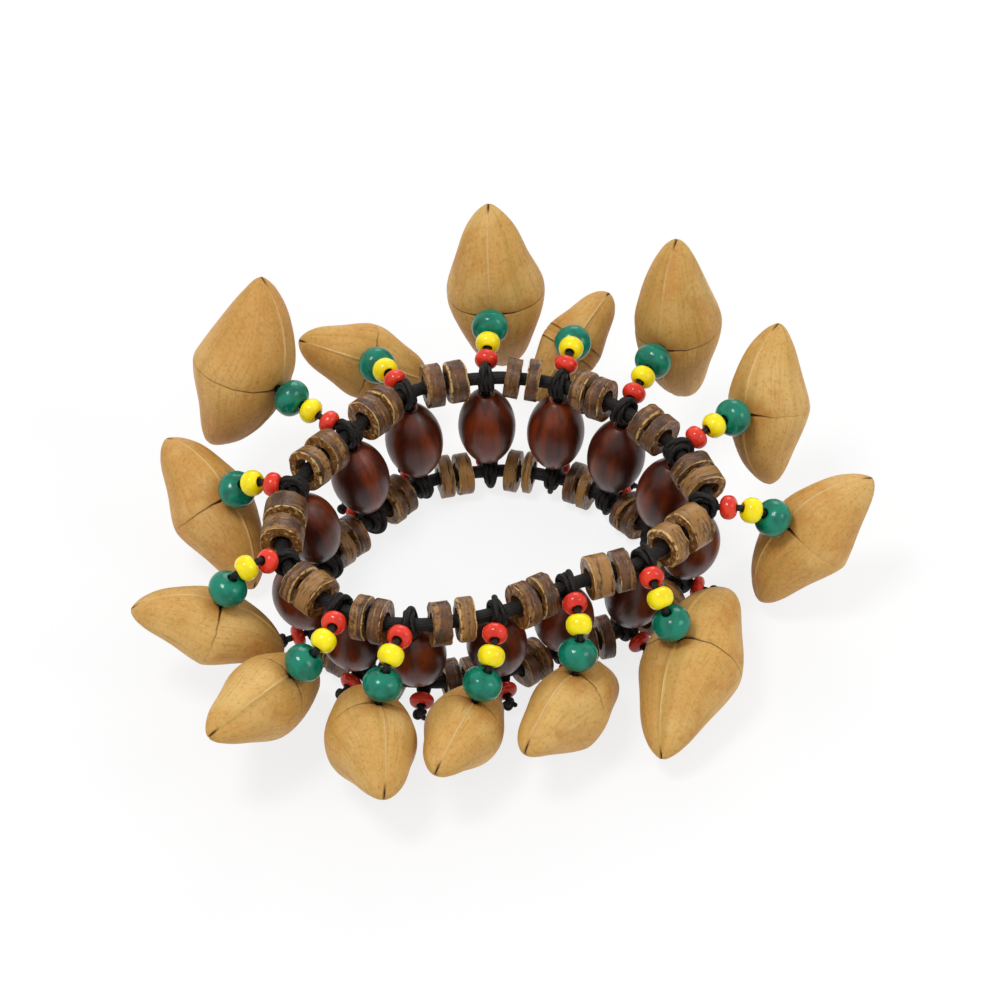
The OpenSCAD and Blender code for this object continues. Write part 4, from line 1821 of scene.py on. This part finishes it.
@dataclass
class Cords:
    """The elastic rings, the rung cords, their hitches and knots, and the cords of the dangles."""

    shop: Workshop
    hitch_turns: float = 2.4
    hitch_rise: float = 0.7
    hitch_start: float = 70.0
    hitch_spread: float = 2.1
    hitch_steps: int = 64
    cross_turn: float = 215.0
    cross_steps: int = 26
    knot_size: float = 0.3
    knot_cord_r: float = 0.42
    knot_steps: int = 60
    hinge_half: float = 0.5
    hinge_straight: float = 1.2
    bend_half: float = 0.6
    tail: float = 1.4
    hitch_lumps: Lumps = Lumps(0.06, 1.2, 6.0)

    def elastics(self) -> None:
        """Lays the two elastic rings."""
        shop = self.shop
        paths = [soften(shop.layout.ring_path(ring), 2, True) for ring in Ring]
        piece = shop.sweep("elastic_rings", paths, shop.cords.elastic_d / 2, shop.finishes.elastic, 20, True)
        commit(piece, BAND, "cord", "cords")

    def rung_cords(self) -> None:
        """Runs a cord through each barrel and out to each stop knot."""
        shop, layout = self.shop, self.shop.layout
        start = layout.wrap_r - layout.cord_r
        paths = []
        for k in range(len(RUNGS)):
            up = layout.rung_dir(k)
            paths.append([layout.at(Ring.LOWER, k) + start * up, layout.at(Ring.UPPER, k) - start * up])
            foot, stub = layout.at(Ring.LOWER, k), layout.stub_dir(k)
            paths.append([foot + start * stub, foot + layout.knot_at * stub])
        piece = shop.sweep("rung_cords", paths, layout.cord_r, shop.finishes.waxed)
        commit(piece, BAND, "cord", "cords")

    def hitch_path(self) -> list[Vector]:
        """Path of one hitch about its own Z, with the crossing strand on the +X side.

        Returns:
            The points of the path.
        """
        layout = self.shop.layout
        radius = layout.wrap_in_r + layout.cord_r
        width = layout.wrap_step * self.hitch_spread
        start, path = math.radians(self.hitch_start), []
        for i in range(self.hitch_steps + 1):
            f = i / self.hitch_steps
            path.append(around(radius, start + math.tau * self.hitch_turns * f, width * (f - 0.45)))
        last = start + math.tau * self.hitch_turns
        for i in range(1, self.cross_steps + 1):
            f = i / self.cross_steps
            r = radius + self.hitch_rise * math.sin(math.pi * f) ** 0.7
            path.append(around(r, last + math.radians(self.cross_turn) * f, width * (0.55 - 0.95 * f)))
        return path

    def hitches(self) -> None:
        """Ties each rung cord round both rings."""
        shop, layout = self.shop, self.shop.layout
        pattern = shop.sweep("hitch", [self.hitch_path()], layout.cord_r, shop.finishes.waxed, 10)
        spots = []
        for ring, sign in ((Ring.UPPER, 1.0), (Ring.LOWER, -1.0)):
            for k in range(len(RUNGS)):
                flip = 1.0 if scatter(k, Salt.HITCH_HAND) > 0.5 else -1.0
                turn = aim_with_side(flip * layout.along(ring, k), sign * layout.rung_dir(k))
                spots.append(Spot(layout.at(ring, k), turn))
        piece = shop.string("cord_hitches", [pattern], spots, shop.finishes.waxed, self.hitch_lumps)
        discard([pattern])
        commit(piece, BAND, "cord", "cords")

    def knots(self) -> None:
        """Ties a knot behind each stop bead."""
        shop, layout = self.shop, self.shop.layout
        path = []
        for i in range(self.knot_steps):
            t = math.tau * i / self.knot_steps
            x, y = math.sin(t) + 2 * math.sin(2 * t), math.cos(t) - 2 * math.cos(2 * t)
            path.append(self.knot_size * Vector((x, y, -1.2 * math.sin(3 * t))))
        pattern = shop.sweep("knot", [path], self.knot_cord_r, shop.finishes.waxed, 8, True)
        spots = []
        for k in range(len(RUNGS)):
            stub = layout.stub_dir(k)
            turn = aim(stub, 360 * scatter(k, Salt.KNOT_SPIN))
            spots.append(Spot(layout.at(Ring.LOWER, k) + layout.knot_at * stub, turn))
        piece = shop.string("stop_knots", [pattern], spots, shop.finishes.waxed)
        discard([pattern])
        commit(piece, BAND, "cord", "cords")

    def dangle_cord(self, k: int) -> None:
        """Runs a cord from the upper ring through dangle k's beads into its shell.

        Args:
            k: Number of the dangle.
        """
        shop, layout = self.shop, self.shop.layout
        top, hinge, bend, hole = layout.at(Ring.UPPER, k), layout.hinge(k), layout.bend(k), layout.hole(k)
        stem, way, into = layout.stem_dir(k), layout.bead_dir(k), layout.shell_dir(k)
        before, after = hinge - self.hinge_half * stem, hinge + self.hinge_half * way
        corners = [
            top + (layout.wrap_r - layout.cord_r) * stem,
            hinge - self.hinge_straight * stem, before, hinge, after, hinge + self.hinge_straight * way,
            bend - self.bend_half * way, bend, bend + self.bend_half * into, hole + self.tail * into,
        ]
        name, body = numbered("dangle_cord", k), numbered("dangle", k)
        piece = shop.sweep(name, [soften(corners, 2, False)], layout.cord_r, shop.finishes.waxed)
        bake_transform(piece)
        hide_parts(numbered("strand", k))
        log.info("%s bends from %s to %s", name, BAND, body)

    def dress(self) -> None:
        """Makes all cords."""
        self.elastics()
        self.rung_cords()
        self.hitches()
        self.knots()
        for k in range(len(DANGLES)):
            self.dangle_cord(k)


@dataclass(frozen=True)
class Lamp:
    """A round soft lamp: its name, its place and width in metres, and its power in watts."""

    name: str
    place: tuple[float, float, float]
    size: float
    power: float


@dataclass
class Studio:
    """White floor, soft lamps and the camera."""

    distance: float = 600.0
    elevation: float = 44.0
    target: tuple[float, float, float] = (2.1, 6.3, 18.6)
    lens: float = 129.5
    floor_half: float = 3.0
    floor_glow: float = 0.8
    ambient: float = 0.58
    lamps: tuple[Lamp, ...] = (
        Lamp("key", (-0.30, -0.20, 0.95), 0.3, 4.3),
        Lamp("fill", (0.7, -0.3, 0.6), 0.4, 1.5),
        Lamp("rim", (0.1, 0.8, 0.6), 0.5, 2.0),
    )

    def camera(self) -> None:
        """Sets the camera at the photograph's angle."""
        e = math.radians(self.elevation)
        away = Vector((0, -math.cos(e), math.sin(e)))
        data = bpy.data.cameras.new("camera")
        data.lens = self.lens
        data.sensor_width = 36.0
        data.clip_start = 0.01
        data.clip_end = 20.0
        camera = bpy.data.objects.new("camera", data)
        camera.location = MM * (Vector(self.target) + self.distance * away)
        camera.rotation_euler = (math.radians(90 - self.elevation), 0, 0)
        bpy.context.scene.collection.objects.link(camera)
        bpy.context.scene.camera = camera

    def seen(self, graph: Graph) -> Socket:
        """Value that is 1 for rays that show the background, seen straight or mirrored.

        Args:
            graph: Graph that takes the nodes.

        Returns:
            The value.
        """
        path = graph.add("ShaderNodeLightPath").outputs
        mirrored = graph.math("MAXIMUM", path["Is Glossy Ray"], path["Is Transmission Ray"])
        return graph.math("MAXIMUM", path["Is Camera Ray"], mirrored)

    def floor(self) -> None:
        """Lays a white floor that keeps the bracelet's shadow."""
        h = self.floor_half
        corners = [(-h, -h, 0), (h, -h, 0), (h, h, 0), (-h, h, 0)]
        floor = new_object("floor", corners, faces=[(0, 1, 2, 3)])
        material = bpy.data.materials.new("white_floor")
        material.use_nodes = True
        g = Graph(material.node_tree)
        g.tree.nodes.clear()
        matt = g.add("ShaderNodeBsdfDiffuse", {"Color": (0.9, 0.9, 0.9, 1)}).outputs[0]
        glow = g.add("ShaderNodeEmission", {"Color": (1, 1, 1, 1), "Strength": 1.0}).outputs[0]
        share = g.math("MULTIPLY", self.seen(g), self.floor_glow)
        both = g.add("ShaderNodeMixShader", {0: share, 1: matt, 2: glow}).outputs[0]
        g.add("ShaderNodeOutputMaterial", {"Surface": both})
        floor.data.materials.append(material)

    def world(self) -> None:
        """Surrounds the scene with even light, and with white where it is seen."""
        world = bpy.data.worlds.new("studio")
        world.use_nodes = True
        g = Graph(world.node_tree)
        g.tree.nodes.clear()
        cool = {"Color": (0.97, 0.98, 1.0, 1), "Strength": self.ambient}
        light = g.add("ShaderNodeBackground", cool).outputs[0]
        white = g.add("ShaderNodeBackground", {"Color": (1, 1, 1, 1), "Strength": 1.0}).outputs[0]
        both = g.add("ShaderNodeMixShader", {0: self.seen(g), 1: light, 2: white}).outputs[0]
        g.add("ShaderNodeOutputWorld", {"Surface": both})
        bpy.context.scene.world = world

    def hang(self, lamp: Lamp) -> None:
        """Hangs one lamp that faces the bracelet.

        Args:
            lamp: The lamp.
        """
        data = bpy.data.lights.new(lamp.name, "AREA")
        data.shape = "DISK"
        data.size = lamp.size
        data.energy = lamp.power
        thing = bpy.data.objects.new(lamp.name, data)
        thing.location = lamp.place
        thing.rotation_euler = (-Vector(lamp.place)).to_track_quat("-Z", "Y").to_euler()
        bpy.context.scene.collection.objects.link(thing)

    def dress(self) -> None:
        """Makes the camera, the floor and the lights."""
        self.camera()
        self.floor()
        self.world()
        for lamp in self.lamps:
            self.hang(lamp)
        bpy.context.scene.view_settings.view_transform = "Standard"


def main() -> None:
    """Builds the bracelet's pieces in order."""
    logging.basicConfig(level=logging.INFO, format="%(message)s")
    Studio().dress()
    shop = Workshop()
    for part in (NutShells(shop), BandBeads(shop), DangleBeads(shop), Cords(shop)):
        part.dress()


if __name__ == "__main__":
    main()
